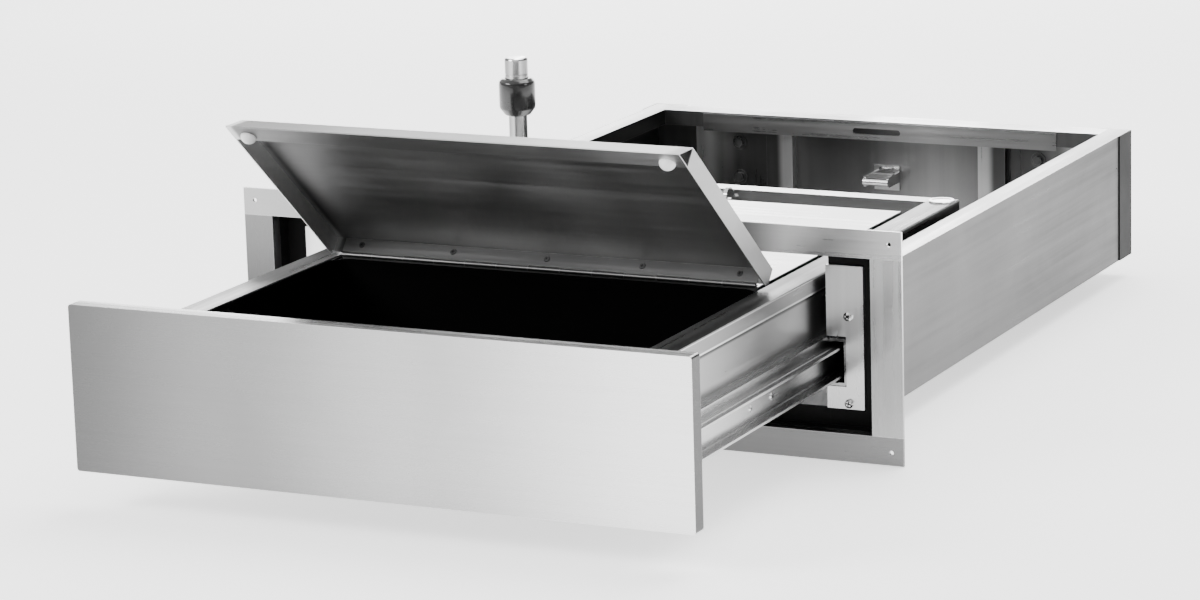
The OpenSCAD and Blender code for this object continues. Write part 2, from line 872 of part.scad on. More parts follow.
// A side of the drawer with its rim and the lip along the rim's outer edge
module drawer_side(side) {
    edge = sheet * 0.6;
    color("lightgray")
    on_side(side)
        difference() {
            run_y(front_y + panel_gauge, rear_y)
                polygon([
                    [rim_in, rim_z],
                    [rim_out - edge, rim_z],
                    [rim_out, rim_z - edge],
                    [rim_out, rim_z - rim_lip],
                    [wall_out, rim_z - rim_lip],
                    [wall_out, drawer_z],
                    [wall_in, drawer_z],
                    [wall_in, rim_z - rim_lip + sheet],
                    [rim_out - sheet, rim_z - rim_lip + sheet],
                    [rim_out - sheet, rim_z - sheet],
                    [rim_in, rim_z - sheet]
                ]);
            if (side < 0)
                translate([post_x, post_y, rim_z - sheet - over])
                    cylinder(d = post_d + 2 * slack, h = sheet + 2 * over);
        }
}

module drawer_bottom() {
    color("silver")
    box(-wall_in, wall_in, front_y + panel_gauge + sheet, rear_y - sheet,
        drawer_z, drawer_z + sheet);
}

// The back wall with the rear rail folded over it, slotted for the latch's hook
module drawer_back() {
    color("lightgray")
    difference() {
        union() {
            box(-wall_in, wall_in, rear_y - sheet, rear_y, drawer_z, rim_z - rim_lip);
            box(-rim_in, rim_in, rear_y - sheet, rear_y, rim_z - rim_lip - tiny, rim_z);
            box(-rim_in, rim_in, rail_y, rear_y, rim_z - sheet, rim_z);
            box(-rim_in, rim_in, rail_y, rail_y + sheet, rim_z - rim_lip, rim_z);
        }
        box(-slot_half, slot_half, rail_y - over, rear_y + over,
            drawer_z + sheet, rim_z - sheet * 3);
    }
}

// The deck behind the cover, with a groove left at each side
module rear_deck_plate() {
    half = rim_in - deck_groove;
    color("whitesmoke")
    union() {
        box(-half, half, hinge_back_y, deck_end, rim_z - sheet, rim_z);
        box(-half, half, hinge_back_y, hinge_back_y + sheet, rim_z - leaf_drop - sheet, rim_z);
        box(-half, half, deck_end - sheet, deck_end, recess_z + sheet, rim_z);
    }
}

// The sunk tray between the rear deck and the rear rail
module recess_pan() {
    color("gray")
    difference() {
        box(-wall_in, wall_in, deck_end - tub_corner_r, rear_y - sheet, recess_z, recess_z + sheet);
        box(-slot_half, slot_half, shaft_y - tub_corner_r, rear_y,
            recess_z - over, recess_z + sheet + over);
    }
}

// The tub that takes the deposit, with round upright corners and a sunk ledge at its front
module deposit_tub() {
    w = 2 * rim_in;
    len = tub_y1 - tub_y0;
    mid = (tub_y0 + tub_y1) / 2;
    depth = rim_z - sheet - tub_z;
    color([0.05, 0.05, 0.05])
    translate([0, mid, tub_z])
        difference() {
            linear_extrude(depth) rounded_rect(w + 2 * tub_wall, len + 2 * tub_wall,
                                               tub_corner_r + tub_wall);
            translate([0, tub_ledge / 2, tub_wall])
                linear_extrude(depth) rounded_rect(w, len - tub_ledge, tub_corner_r);
            translate([0, 0, ledge_z - tub_z])
                linear_extrude(depth) rounded_rect(w, len, tub_corner_r);
            translate([0, -len / 2 + tub_ledge / 2 - tub_wall / 2, -over])
                linear_extrude(ledge_z - tub_z - tub_wall + over)
                    square([w + 4 * tub_wall, tub_ledge + tub_wall + tiny], center = true);
        }
}

// Hinge between the tub's rear and the cover

module knuckles(first) {
    for (k = [first:2:knuckle_count - 1])
        translate([0, hinge_y, hinge_z])
            difference() {
                rod_x(-leaf_len / 2 + k * knuckle_len + knuckle_gap,
                      -leaf_len / 2 + (k + 1) * knuckle_len - knuckle_gap, knuckle_r);
                rod_x(-leaf_len / 2 + k * knuckle_len - over,
                      -leaf_len / 2 + (k + 1) * knuckle_len + over, hinge_pin_d / 2 + slack);
            }
}

module hinge_leaf_fixed() {
    y1 = hinge_back_y;
    low = hinge_z - knuckle_r - gap;
    color("silver") {
        knuckles(0);
        box(-leaf_len / 2, leaf_len / 2, y1 - leaf_t, y1, rim_z - leaf_drop, low);
        for (k = [0:2:knuckle_count - 1])
            box(-leaf_len / 2 + k * knuckle_len + knuckle_gap,
                -leaf_len / 2 + (k + 1) * knuckle_len - knuckle_gap,
                hinge_y + hinge_pin_d / 2 + slack * 3, y1, low - tiny, hinge_z);
    }
}

function screw_x(k) = (k / (hinge_screws - 1) - 0.5) * leaf_len * (1 - 2 * screw_in_share);

module hinge_pin() {
    color("silver")
    translate([0, hinge_y, hinge_z])
        rod_x(-leaf_len / 2 - leaf_t, leaf_len / 2 + leaf_t, hinge_pin_d / 2);
}

// Cover, drawn shut about its hinge and then raised

module raised() {
    translate([0, hinge_y, hinge_z]) rotate([-cover_open, 0, 0]) children();
}

module cover_pan() {
    g = cover_gauge;
    notch = knuckle_r + g;
    color("lightgray")
    raised() {
        difference() {
            run_x(-cover_half, cover_half)
                polygon([
                    [g, cover_top],
                    [g, fold_z],
                    [0, fold_z],
                    [0, cover_top - g],
                    [-plate_end, cover_top - g],
                    [-cover_len, cover_edge],
                    [-cover_len, cover_edge + g],
                    [-plate_end, cover_top]
                ]);
            for (k = [0:hinge_screws - 1])
                translate([screw_x(k), 0, leaf_h * screw_row_share]) rod_y(-over, g + over, hinge_hole_r);
        }
        run_x(-cover_half, cover_half)
            polygon([
                [-cover_len, cover_edge],
                [-cover_len + nose_lip, cover_edge],
                [-cover_len + nose_lip, cover_edge + g],
                [-cover_len, cover_edge + g]
            ]);
        for (side = [-1, 1])
            on_side(side)
                difference() {
                    box(cover_half - g, cover_half, -plate_end + g / 2, g, cover_edge, cover_top - tiny);
                    box(cover_half - g - over, cover_half + over, -notch, g + over,
                        cover_edge - over, fold_z);
                }
    }
}

module hinge_leaf_cover() {
    low = fold_z + slack;
    color("silver") {
        knuckles(1);
        raised() {
            difference() {
                box(-leaf_len / 2, leaf_len / 2, -leaf_t, 0, low, leaf_h);
                for (k = [0:hinge_screws - 1])
                    translate([screw_x(k), 0, leaf_h * screw_row_share])
                        rod_y(-leaf_t - over, over, hinge_hole_r);
            }
            for (k = [1:2:knuckle_count - 1])
                box(-leaf_len / 2 + k * knuckle_len + knuckle_gap,
                    -leaf_len / 2 + (k + 1) * knuckle_len - knuckle_gap,
                    -leaf_t, 0, hinge_pin_d / 2 + slack * 3, low + tiny);
        }
    }
}

module hinge_screws_cover() {
    color("dimgray")
    raised()
        for (k = [0:hinge_screws - 1])
            translate([screw_x(k), -leaf_t, leaf_h * screw_row_share]) rotate([90, 0, 0])
                low_screw(hinge_screw_d, leaf_t + cover_gauge);
}

// Domed pads under the nose's lip, which meet the tub's ledge
module cover_pads() {
    pad_r = pad_d / 2;
    dome_r = pad_r * 1.05;
    pad_y = -cover_len + nose_lip * 0.72;
    drop = cover_edge + hinge_z - ledge_z - gap;
    color("white")
    raised()
        for (side = [-1, 1])
            translate([side * (cover_half - pad_inset), pad_y, cover_edge])
                rotate([180, 0, 0])
                    rotate_extrude()
                        intersection() {
                            translate([0, drop - dome_r]) circle(dome_r);
                            square([pad_r, drop]);
                        }
}

// Handle

module handle_post() {
    color("silver")
    translate([-post_x, post_y, rim_z - post_below])
        difference() {
            cylinder(d = post_d, h = post_below + post_h + grip_floor / 2);
            translate([0, 0, -over]) cylinder(d = post_d - 2 * post_wall, h = post_h + grip_h);
        }
}

module handle_grip() {
    r = grip_d / 2;
    bore = button_d / 2 + gap;
    post_bore = post_d / 2 + slack / 2;
    grip_shares = [0.78, 0.24, 0.86];
    color([0.08, 0.08, 0.08])
    translate([-post_x, post_y, grip_z])
        rotate_extrude()
            polygon([
                [post_bore, 0],
                [r * grip_shares[0], 0],
                [r, grip_h * grip_shares[1]],
                [r, grip_h * grip_shares[2]],
                [r * grip_shares[2], grip_h],
                [bore, grip_h],
                [bore, grip_floor],
                [post_bore, grip_floor]
            ]);
}

module rim_disc(side) {
    half = disc_t / 2;
    color("lightgray")
    translate([side * post_x, post_y, rim_z])
        difference() {
            union() {
                cylinder(d = disc_d, h = half);
                translate([0, 0, half]) cylinder(d1 = disc_d, d2 = disc_d - disc_t, h = half);
            }
            if (side < 0)
                translate([0, 0, -over]) cylinder(d = post_d + slack, h = disc_t + 2 * over);
            else
                translate([0, 0, disc_t * 0.7]) cylinder(d = disc_d * 0.72, h = disc_t);
        }
}

// Release button, drawn up at rest, and the rod that it pushes down
module release_button() {
    r = button_d / 2;
    low = grip_floor + button_travel + over;
    top = grip_h + button_h;
    edge = button_d * 0.085;
    color("silver")
    translate([-post_x, post_y, grip_z])
        rotate_extrude()
            polygon([
                [0, low],
                [r, low],
                [r, top - edge],
                [r - edge * 0.3, top - edge * 0.3],
                [r - edge, top],
                [0, top]
            ]);
}

module release_rod() {
    low = shaft_z + rod_r + gap;
    top = grip_z + grip_floor + button_travel + over;
    color("gray")
    translate([-post_x, post_y, low]) {
        cylinder(r = rod_r, h = top - low);
        sphere(r = rod_r);
    }
}

// Latch

// Two ears on the recess's floor that carry the shaft's end beside the hook
module latch_ears() {
    r = (rail_y - shaft_y) - gap;
    ear_z = rim_z - r * 0.6;
    floor_top = recess_z + sheet;
    color("silver")
    for (side = [-1, 1])
        on_side(side)
            difference() {
                union() {
                    translate([0, shaft_y, ear_z]) rod_x(ear_in, ear_in + ear_t, r);
                    box(ear_in, ear_in + ear_t, shaft_y - r, shaft_y + r, floor_top, ear_z);
                    box(ear_in, ear_in + ear_t * 3, shaft_y - r, shaft_y + r,
                        floor_top, floor_top + sheet);
                }
                translate([0, shaft_y, shaft_z]) rod_x(ear_in - over, ear_in + ear_t + over, shaft_r + slack);
            }
}

// The shaft from the handle to the hook, with a crank arm under the handle's rod
module cross_shaft() {
    half = ear_t;
    color("silver")
    translate([0, shaft_y, shaft_z]) {
        rod_x(-post_x - half - slack, ear_in + ear_t * 1.5, shaft_r);
        difference() {
            translate([-post_x, 0, 0]) {
                rod_x(-half, half, hub_r);
                box(-half, half, 0, crank_len + hub_r, -hub_r * 0.85, 0);
            }
            translate([-post_x, 0, 0])
                box(-half - over, half + over, hub_r * 0.9, crank_len + 2 * hub_r, 0, hub_r + over);
        }
    }
}

// The hook reaches down from the shaft and out through the drawer's back
module latch_hook() {
    neck = hook_t * 2.4;
    arm_h = hook_t * 2.2;
    tooth = hook_t * 1.6;
    reach = rear_in - keeper_reach + 2 * bar_r + 2 * gap - rear_y - extension;
    tooth_y = rear_y - shaft_y + reach;
    hook_top = bar_z - bar_r - over - shaft_z;
    hook_low = hook_top - arm_h;
    color("silver")
    translate([0, shaft_y, shaft_z])
        difference() {
            union() {
                rod_x(-hook_t / 2, hook_t / 2, shaft_r + hook_t);
                run_x(-hook_t / 2, hook_t / 2)
                    polygon([
                        [-neck / 2, 0],
                        [0, hook_top],
                        [neck, hook_low],
                        [tooth_y + tooth * 0.6, hook_low],
                        [tooth_y + tooth, hook_top],
                        [tooth_y + tooth * 0.6, hook_top + tooth],
                        [tooth_y, hook_top + tooth],
                        [tooth_y, hook_top],
                        [neck * 1.6, hook_top],
                        [neck, hook_top + neck],
                        [neck / 2, 0]
                    ]);
            }
            rod_x(-hook_t, hook_t, shaft_r);
        }
}

trim_long(1);  // trim_top
trim_long(-1);  // trim_bottom
trim_upright(-1);  // trim_left
trim_upright(1);  // trim_right
sleeve_top();
sleeve_bottom();
sleeve_side(-1);  // sleeve_left
sleeve_side(1);  // sleeve_right
front_plate(-1);  // front_plate_left
front_plate(1);  // front_plate_right
plate_screws();
housing_wall(-1);  // housing_left
housing_wall(1);  // housing_right
housing_floor();
housing_rear();
rear_strip();
corner_strip(-1);  // corner_strip_left
corner_strip(1);  // corner_strip_right
rear_bracket(-1);  // rear_bracket_left
rear_bracket(1);  // rear_bracket_right
rear_bolts();
keeper();
slide_mount(-1);  // slide_mount_left
slide_mount(1);  // slide_mount_right
slide_outer(-1);  // slide_outer_left
slide_outer(1);  // slide_outer_right
slide_screws();
front_panel();
front_deck_plate();
drawer_side(-1);  // drawer_side_left
drawer_side(1);  // drawer_side_right
drawer_bottom();
drawer_back();
rear_deck_plate();
recess_pan();
deposit_tub();
rail_spacer(-1);  // rail_spacer_left
rail_spacer(1);  // rail_spacer_right
slide_inner(-1);  // slide_inner_left
slide_inner(1);  // slide_inner_right
rail_screws();
hinge_leaf_fixed();
hinge_pin();
handle_post();
handle_grip();
rim_disc(-1);  // rim_disc_left
rim_disc(1);  // rim_disc_right
latch_ears();
cover_pan();
hinge_leaf_cover();
hinge_screws_cover();
cover_pads();
ball_cage(-1);  // ball_cage_left
ball_cage(1);  // ball_cage_right
release_button();
release_rod();
cross_shaft();
latch_hook();
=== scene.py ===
"""Looks of the deposit drawer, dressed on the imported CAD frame.

Lengths are metres in the row frame: X to the customer's right, Y into the wall and Z up.
The origin is the middle of the wall trim's back face.
"""

import logging
import math
from dataclasses import dataclass, field
from enum import Enum

import bmesh
import bpy
from mathutils import Matrix, Vector


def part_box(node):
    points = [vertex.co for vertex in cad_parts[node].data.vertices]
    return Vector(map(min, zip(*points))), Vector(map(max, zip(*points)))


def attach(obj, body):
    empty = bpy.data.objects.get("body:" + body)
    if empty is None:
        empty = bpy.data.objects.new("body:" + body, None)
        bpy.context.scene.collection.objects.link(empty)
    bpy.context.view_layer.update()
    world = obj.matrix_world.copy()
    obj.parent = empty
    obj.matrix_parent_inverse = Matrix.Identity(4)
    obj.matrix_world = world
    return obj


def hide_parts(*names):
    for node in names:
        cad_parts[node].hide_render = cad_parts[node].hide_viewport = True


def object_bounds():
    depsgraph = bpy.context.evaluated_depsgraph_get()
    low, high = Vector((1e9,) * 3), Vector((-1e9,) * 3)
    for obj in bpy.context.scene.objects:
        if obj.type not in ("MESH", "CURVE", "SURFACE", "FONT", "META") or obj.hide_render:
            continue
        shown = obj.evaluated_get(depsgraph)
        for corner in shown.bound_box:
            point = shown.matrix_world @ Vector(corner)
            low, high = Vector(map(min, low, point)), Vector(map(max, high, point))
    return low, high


LOG = logging.getLogger("deposit_drawer")

MASK_RANGE = (0.3, 0.7)  # where a noise mask has most of its values
FACING_RANGE = (0.6, 0.8)  # a normal's share along an axis where a facing's painted light and shade starts and is full
UNDERSIDE = -0.5  # a normal's share along the cover's outward direction, for its underside's painted shade
METAL_LIMIT = 0.95  # brightest tone of a metal
STREAK_ROUGH = 0.05  # how much a sheet's streaks change its roughness
SMUDGE_ROUGH = (-0.03, 0.05)  # and its smudges
WORN_METAL = 0.9  # tone of worn edges on sheet
WORN_PLATE = 0.95  # and on plated metal
WORN_STEP = 0.35  # how much brighter worn edges of a coat are
FOLD_LIMIT = math.radians(40)  # edges sharper than this are rounded on CAD nodes
ROUNDING_LIMIT = math.radians(18)  # and on turned pieces
HINGE_POINT = (0.0, -0.042, 0.0635)  # a point of the cover's hinge axis
OPEN_ANGLE = 40.6  # degrees that the cover stands open in the frame
FLOOR_SIZE = 60.0
FLOOR_GAP = 0.0005  # between the object's lowest point and the floor

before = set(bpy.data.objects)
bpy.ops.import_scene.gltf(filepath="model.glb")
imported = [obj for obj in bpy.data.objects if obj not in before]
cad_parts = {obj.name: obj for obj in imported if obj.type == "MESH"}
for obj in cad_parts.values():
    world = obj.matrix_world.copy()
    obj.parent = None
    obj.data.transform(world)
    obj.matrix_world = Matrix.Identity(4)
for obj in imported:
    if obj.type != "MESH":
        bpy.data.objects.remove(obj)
START_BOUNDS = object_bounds()


class Grain(Enum):
    """Direction in which a sheet was brushed, as a stretch of its texture coordinates."""

    ALONG_X = (0.02, 1.0, 1.0)
    ALONG_Y = (1.0, 0.02, 1.0)
    ALONG_Z = (1.0, 1.0, 0.02)


class Edge(Enum):
    """Rounding of a piece's edges: width in metres and number of segments."""

    SHARP = (0.0, 0)
    SHEET = (0.00035, 2)
    FOLD = (0.0009, 3)
    SOFT = (0.0006, 2)


# Shared shader effects


class Groups:
    """Node groups that several finishes share. They output only masks, values and normals."""

    @staticmethod
    def _new(name: str, inputs: list[tuple], outputs: list[tuple]) -> bpy.types.NodeTree:
        """Makes an empty group with named sockets.

        Args:
            name: The group's name.
            inputs: (name, socket type, default) of each input.
            outputs: (name, socket type) of each output.

        Returns:
            The node group.
        """
        tree = bpy.data.node_groups.new(name, "ShaderNodeTree")
        for title, kind, default in inputs:
            socket = tree.interface.new_socket(name=title, in_out="INPUT", socket_type=kind)
            if default is not None:
                socket.default_value = default
        for title, kind in outputs:
            tree.interface.new_socket(name=title, in_out="OUTPUT", socket_type=kind)
        return tree

    @classmethod
    def grain(cls) -> bpy.types.NodeTree:
        """Brushed streaks: a mask of soft streaks and a normal with fine scratches.

        Returns:
            The node group.
        """
        found = bpy.data.node_groups.get("BrushedGrain")
        if found:
            return found
        tree = cls._new(
            "BrushedGrain",
            [
                ("Vector", "NodeSocketVector", None),
                ("Fine Scale", "NodeSocketFloat", 1400.0),
                ("Streak Scale", "NodeSocketFloat", 160.0),
                ("Depth", "NodeSocketFloat", 0.08),
            ],
            [("Streaks", "NodeSocketFloat"), ("Normal", "NodeSocketVector")],
        )
        nodes, links = tree.nodes, tree.links
        entry, exit_ = nodes.new("NodeGroupInput"), nodes.new("NodeGroupOutput")
        fine = nodes.new("ShaderNodeTexNoise")
        fine.inputs["Detail"].default_value = 4.0
        fine.inputs["Roughness"].default_value = 0.6
        streak = nodes.new("ShaderNodeTexNoise")
        streak.inputs["Detail"].default_value = 3.0
        streak.inputs["Roughness"].default_value = 0.55
        bump = nodes.new("ShaderNodeBump")
        bump.inputs["Distance"].default_value = 0.0002
        links.new(entry.outputs["Vector"], fine.inputs["Vector"])
        links.new(entry.outputs["Vector"], streak.inputs["Vector"])
        links.new(entry.outputs["Fine Scale"], fine.inputs["Scale"])
        links.new(entry.outputs["Streak Scale"], streak.inputs["Scale"])
        links.new(entry.outputs["Depth"], bump.inputs["Strength"])
        links.new(fine.outputs["Fac"], bump.inputs["Height"])
        links.new(streak.outputs["Fac"], exit_.inputs["Streaks"])
        links.new(bump.outputs["Normal"], exit_.inputs["Normal"])
        return tree

    @classmethod
    def smudge(cls) -> bpy.types.NodeTree:
        """Large soft patches, as of handling and cleaning.

        Returns:
            The node group.
        """
        found = bpy.data.node_groups.get("Smudge")
        if found:
            return found
        tree = cls._new(
            "Smudge",
            [("Vector", "NodeSocketVector", None), ("Scale", "NodeSocketFloat", 9.0)],
            [("Mask", "NodeSocketFloat")],
        )
        nodes, links = tree.nodes, tree.links
        entry, exit_ = nodes.new("NodeGroupInput"), nodes.new("NodeGroupOutput")
        noise = nodes.new("ShaderNodeTexNoise")
        noise.inputs["Detail"].default_value = 5.0
        noise.inputs["Roughness"].default_value = 0.62
        noise.inputs["Distortion"].default_value = 0.6
        span = nodes.new("ShaderNodeMapRange")
        span.inputs["From Min"].default_value, span.inputs["From Max"].default_value = MASK_RANGE
        links.new(entry.outputs["Vector"], noise.inputs["Vector"])
        links.new(entry.outputs["Scale"], noise.inputs["Scale"])
        links.new(noise.outputs["Fac"], span.inputs["Value"])
        links.new(span.outputs["Result"], exit_.inputs["Mask"])
        return tree

    @classmethod
    def edge_wear(cls) -> bpy.types.NodeTree:
        """A mask of worn, brighter edges, broken up by noise.

        Returns:
            The node group.
        """
        found = bpy.data.node_groups.get("EdgeWear")
        if found:
            return found
        tree = cls._new(
            "EdgeWear",
            [
                ("Vector", "NodeSocketVector", None),
                ("Radius", "NodeSocketFloat", 0.0012),
                ("Amount", "NodeSocketFloat", 0.5),
            ],
            [("Mask", "NodeSocketFloat")],
        )
        nodes, links = tree.nodes, tree.links
        entry, exit_ = nodes.new("NodeGroupInput"), nodes.new("NodeGroupOutput")
        bevel = nodes.new("ShaderNodeBevel")
        bevel.samples = 4
        geometry = nodes.new("ShaderNodeNewGeometry")
        dot = nodes.new("ShaderNodeVectorMath")
        dot.operation = "DOT_PRODUCT"
        span = nodes.new("ShaderNodeMapRange")
        span.inputs["From Min"].default_value = 0.995
        span.inputs["From Max"].default_value = 0.8
        noise = nodes.new("ShaderNodeTexNoise")
        noise.inputs["Scale"].default_value = 220.0
        noise.inputs["Detail"].default_value = 3.0
        break_up = nodes.new("ShaderNodeMath")
        break_up.operation = "MULTIPLY"
        amount = nodes.new("ShaderNodeMath")
        amount.operation = "MULTIPLY"
        amount.use_clamp = True
        links.new(entry.outputs["Radius"], bevel.inputs["Radius"])
        links.new(bevel.outputs["Normal"], dot.inputs[0])
        links.new(geometry.outputs["Normal"], dot.inputs[1])
        links.new(dot.outputs["Value"], span.inputs["Value"])
        links.new(entry.outputs["Vector"], noise.inputs["Vector"])
        links.new(span.outputs["Result"], break_up.inputs[0])
        links.new(noise.outputs["Fac"], break_up.inputs[1])
        links.new(break_up.outputs["Value"], amount.inputs[0])
        links.new(entry.outputs["Amount"], amount.inputs[1])
        links.new(amount.outputs["Value"], exit_.inputs["Mask"])
        return tree


class Sheet:
    """Small helper that lays out one material's node tree."""

    def __init__(self, name: str) -> None:
        """Starts a material with one Principled shader.

        Args:
            name: The material's name.
        """
        self.material = bpy.data.materials.new(name)
        self.material.use_nodes = True
        tree = self.material.node_tree
        self.nodes, self.links = tree.nodes, tree.links
        self.shader = self.nodes["Principled BSDF"]
        self.coords = self.nodes.new("ShaderNodeTexCoord").outputs["Object"]

    def worn(
        self, mask: bpy.types.NodeSocket, colour: bpy.types.NodeSocket, tone: float, clamp: bool = False
    ) -> None:
        """Gives the shader its colour, brighter where edges are worn.

        Args:
            mask: Mask of the worn edges.
            colour: The colour elsewhere.
            tone: Grey value of the worn edges.
            clamp: Whether the result stays between 0 and 1.
        """
        node = self.nodes.new("ShaderNodeMix")
        node.data_type = "RGBA"
        node.clamp_result = clamp
        node.inputs[7].default_value = (*((tone,) * 3), 1)
        self.links.new(mask, node.inputs[0])
        self.links.new(colour, node.inputs[6])
        self.links.new(node.outputs[2], self.shader.inputs["Base Color"])

    def stretched(self, scale: tuple[float, float, float]) -> bpy.types.NodeSocket:
        """Object coordinates stretched along the grain.

        Args:
            scale: Scale along X, Y and Z.

        Returns:
            The socket with the stretched coordinates.
        """
        mapping = self.nodes.new("ShaderNodeMapping")
        mapping.inputs["Scale"].default_value = scale
        self.links.new(self.coords, mapping.inputs["Vector"])
        return mapping.outputs["Vector"]

    def group(
        self, tree: bpy.types.NodeTree, vector: bpy.types.NodeSocket, **values: float
    ) -> bpy.types.ShaderNodeGroup:
        """Adds a shared group.

        Args:
            tree: The node group.
            vector: What goes into its Vector socket.
            **values: Values of its other inputs, with _ for a space.

        Returns:
            The group node.
        """
        node = self.nodes.new("ShaderNodeGroup")
        node.node_tree = tree
        self.links.new(vector, node.inputs["Vector"])
        for key, value in values.items():
            node.inputs[key.replace("_", " ").title()].default_value = value
        return node

    def mix(
        self, factor: bpy.types.NodeSocket, first: tuple[float, ...], second: tuple[float, ...]
    ) -> bpy.types.ShaderNodeMix:
        """Mixes two colours by a mask.

        Args:
            factor: The mask's socket.
            first: RGB at 0.
            second: RGB at 1.

        Returns:
            The mix node, whose output 2 is the colour.
        """
        node = self.nodes.new("ShaderNodeMix")
        node.data_type = "RGBA"
        node.inputs[6].default_value = (*first, 1.0)
        node.inputs[7].default_value = (*second, 1.0)
        self.links.new(factor, node.inputs[0])
        return node

    def span(
        self, value: bpy.types.NodeSocket, low: float, high: float, at_low: float = 0.0, at_high: float = 1.0
    ) -> bpy.types.NodeSocket:
        """Maps a mask to a range.

        Args:
            value: The mask's socket.
            low: Result at at_low.
            high: Result at at_high.
            at_low: Mask value at the low end.
            at_high: Mask value at the high end.

        Returns:
            The result's socket.
        """
        node = self.nodes.new("ShaderNodeMapRange")
        node.inputs["From Min"].default_value = at_low
        node.inputs["From Max"].default_value = at_high
        node.inputs["To Min"].default_value = low
        node.inputs["To Max"].default_value = high
        self.links.new(value, node.inputs["Value"])
        return node.outputs["Result"]


# Finishes


@dataclass(frozen=True)
class Shade:
    """Painted light and shade: a slow change of tone along an axis, standing in for how soft light falls on
    brushed sheet.

    Attributes:
        axis: Index of the axis.
        stops: Places along it with their factors, in rising order.
        mirrored: Whether both sides of the axis's zero are alike.
    """

    axis: int
    stops: tuple[tuple[float, float], ...]
    mirrored: bool = False

    def factor(self, kit: "Sheet") -> bpy.types.NodeSocket:
        """Adds the nodes that give the factor.

        Args:
            kit: The sheet to add them to.

        Returns:
            The factor's socket.
        """
        parts = kit.nodes.new("ShaderNodeSeparateXYZ")
        kit.links.new(kit.coords, parts.inputs[0])
        place = parts.outputs[self.axis]
        if self.mirrored:
            size = kit.nodes.new("ShaderNodeMath")
            size.operation = "ABSOLUTE"
            kit.links.new(place, size.inputs[0])
            place = size.outputs[0]
        low, high = self.stops[0][0], self.stops[-1][0]
        peak = max(factor for _, factor in self.stops)
        ramp = kit.nodes.new("ShaderNodeValToRGB")
        ramp.color_ramp.interpolation = "EASE"
        points = ramp.color_ramp.elements
        while len(points) < len(self.stops):
            points.new(0.5)
        for point, (at, factor) in zip(points, self.stops):
            point.position = (at - low) / (high - low)
            point.color = (*((factor / peak,) * 3), 1)
        kit.links.new(kit.span(place, 0, 1, low, high), ramp.inputs[0])
        scaled = kit.nodes.new("ShaderNodeMath")
        scaled.operation = "MULTIPLY"
        scaled.inputs[1].default_value = peak
        kit.links.new(ramp.outputs[0], scaled.inputs[0])
        return scaled.outputs[0]


@dataclass(frozen=True)
class FacingShade:
    """Painted light and shade: a change of tone of the faces that look along an axis, standing in for how
    light falls on them.

    Attributes:
        axis: Index of the axis.
        sign: 1 for its positive direction and -1 for its negative one.
        factor: Factor of those faces' tone.
    """

    axis: int
    sign: float
    factor: float

    def value(self, kit: "Sheet") -> bpy.types.NodeSocket:
        """Adds the nodes that give the factor.

        Args:
            kit: The sheet to add them to.

        Returns:
            The factor's socket.
        """
        coords = kit.nodes.new("ShaderNodeTexCoord")
        parts = kit.nodes.new("ShaderNodeSeparateXYZ")
        kit.links.new(coords.outputs["Normal"], parts.inputs[0])
        start, full = FACING_RANGE
        return kit.span(parts.outputs[self.axis], 1.0, self.factor, start * self.sign, full * self.sign)


@dataclass(frozen=True)
class Finish:
    """What every finish has.

    Attributes:
        name: The material's name, without its ending.
        tone: Grey value, linear.
        roughness: Middle roughness.
    """

    name: str
    tone: float
    roughness: float

    def material(self) -> bpy.types.Material:
        """Builds the finish's material, or takes the one that is there.

        Returns:
            The material.
        """
        found = bpy.data.materials.get(f"{self.name}_look")
        if found:
            return found
        kit = Sheet(f"{self.name}_look")
        self.lay_out(kit)
        return kit.material

    def lay_out(self, kit: Sheet) -> None:
        """Lays out the finish's nodes. Each finish has its own way.

        Args:
            kit: The new material.
        """
        raise NotImplementedError


@dataclass(frozen=True)
class SheetSteel(Finish):
    """Brushed stainless sheet.

    Attributes:
        grain: Direction of the brushing.
        streak: How much the streaks change the tone.
        wear: How bright the worn edges are.
        depth: Strength of the fine scratches.
        shades: Painted light and shade, as slow changes of its tone.
        facings: Painted light and shade on the faces that look one way.
    """

    grain: Grain
    streak: float = 0.10
    wear: float = 0.5
    depth: float = 0.035
    shades: tuple[Shade, ...] = ()
    facings: tuple[FacingShade, ...] = ()

    def lay_out(self, kit: Sheet) -> None:
        """Lays out the finish's nodes.

        Args:
            kit: The new material.
        """
        along = kit.stretched(self.grain.value)
        grain = kit.group(Groups.grain(), along, depth=self.depth)
        smudge = kit.group(Groups.smudge(), kit.coords, scale=7.0)
        wear = kit.group(Groups.edge_wear(), kit.coords, amount=self.wear)
        low, high = self.tone * (1 - self.streak), min(METAL_LIMIT, self.tone * (1 + self.streak))
        colour = kit.mix(kit.span(grain.outputs["Streaks"], 0, 1, *MASK_RANGE), (low,) * 3, (high,) * 3)
        colour_with_painted_light = colour.outputs[2]
        # Painted light and shade: the shades and facings scale the colour.
        factors = [shade.factor(kit) for shade in self.shades]
        factors += [facing.value(kit) for facing in self.facings]
        for factor in factors:
            scaled = kit.nodes.new("ShaderNodeVectorMath")
            scaled.operation = "SCALE"
            kit.links.new(colour_with_painted_light, scaled.inputs[0])
            kit.links.new(factor, scaled.inputs["Scale"])
            colour_with_painted_light = scaled.outputs[0]
        kit.worn(wear.outputs["Mask"], colour_with_painted_light, WORN_METAL, clamp=True)
        rough = kit.nodes.new("ShaderNodeMath")
        rough.operation = "ADD"
        kit.links.new(
            kit.span(
                grain.outputs["Streaks"], self.roughness - STREAK_ROUGH, self.roughness + STREAK_ROUGH,
                *MASK_RANGE,
            ),
            rough.inputs[0],
        )
        kit.links.new(kit.span(smudge.outputs["Mask"], *SMUDGE_ROUGH), rough.inputs[1])
        kit.links.new(rough.outputs["Value"], kit.shader.inputs["Roughness"])
        kit.links.new(grain.outputs["Normal"], kit.shader.inputs["Normal"])
        kit.shader.inputs["Metallic"].default_value = 1.0
        kit.shader.inputs["Anisotropic"].default_value = 0.35


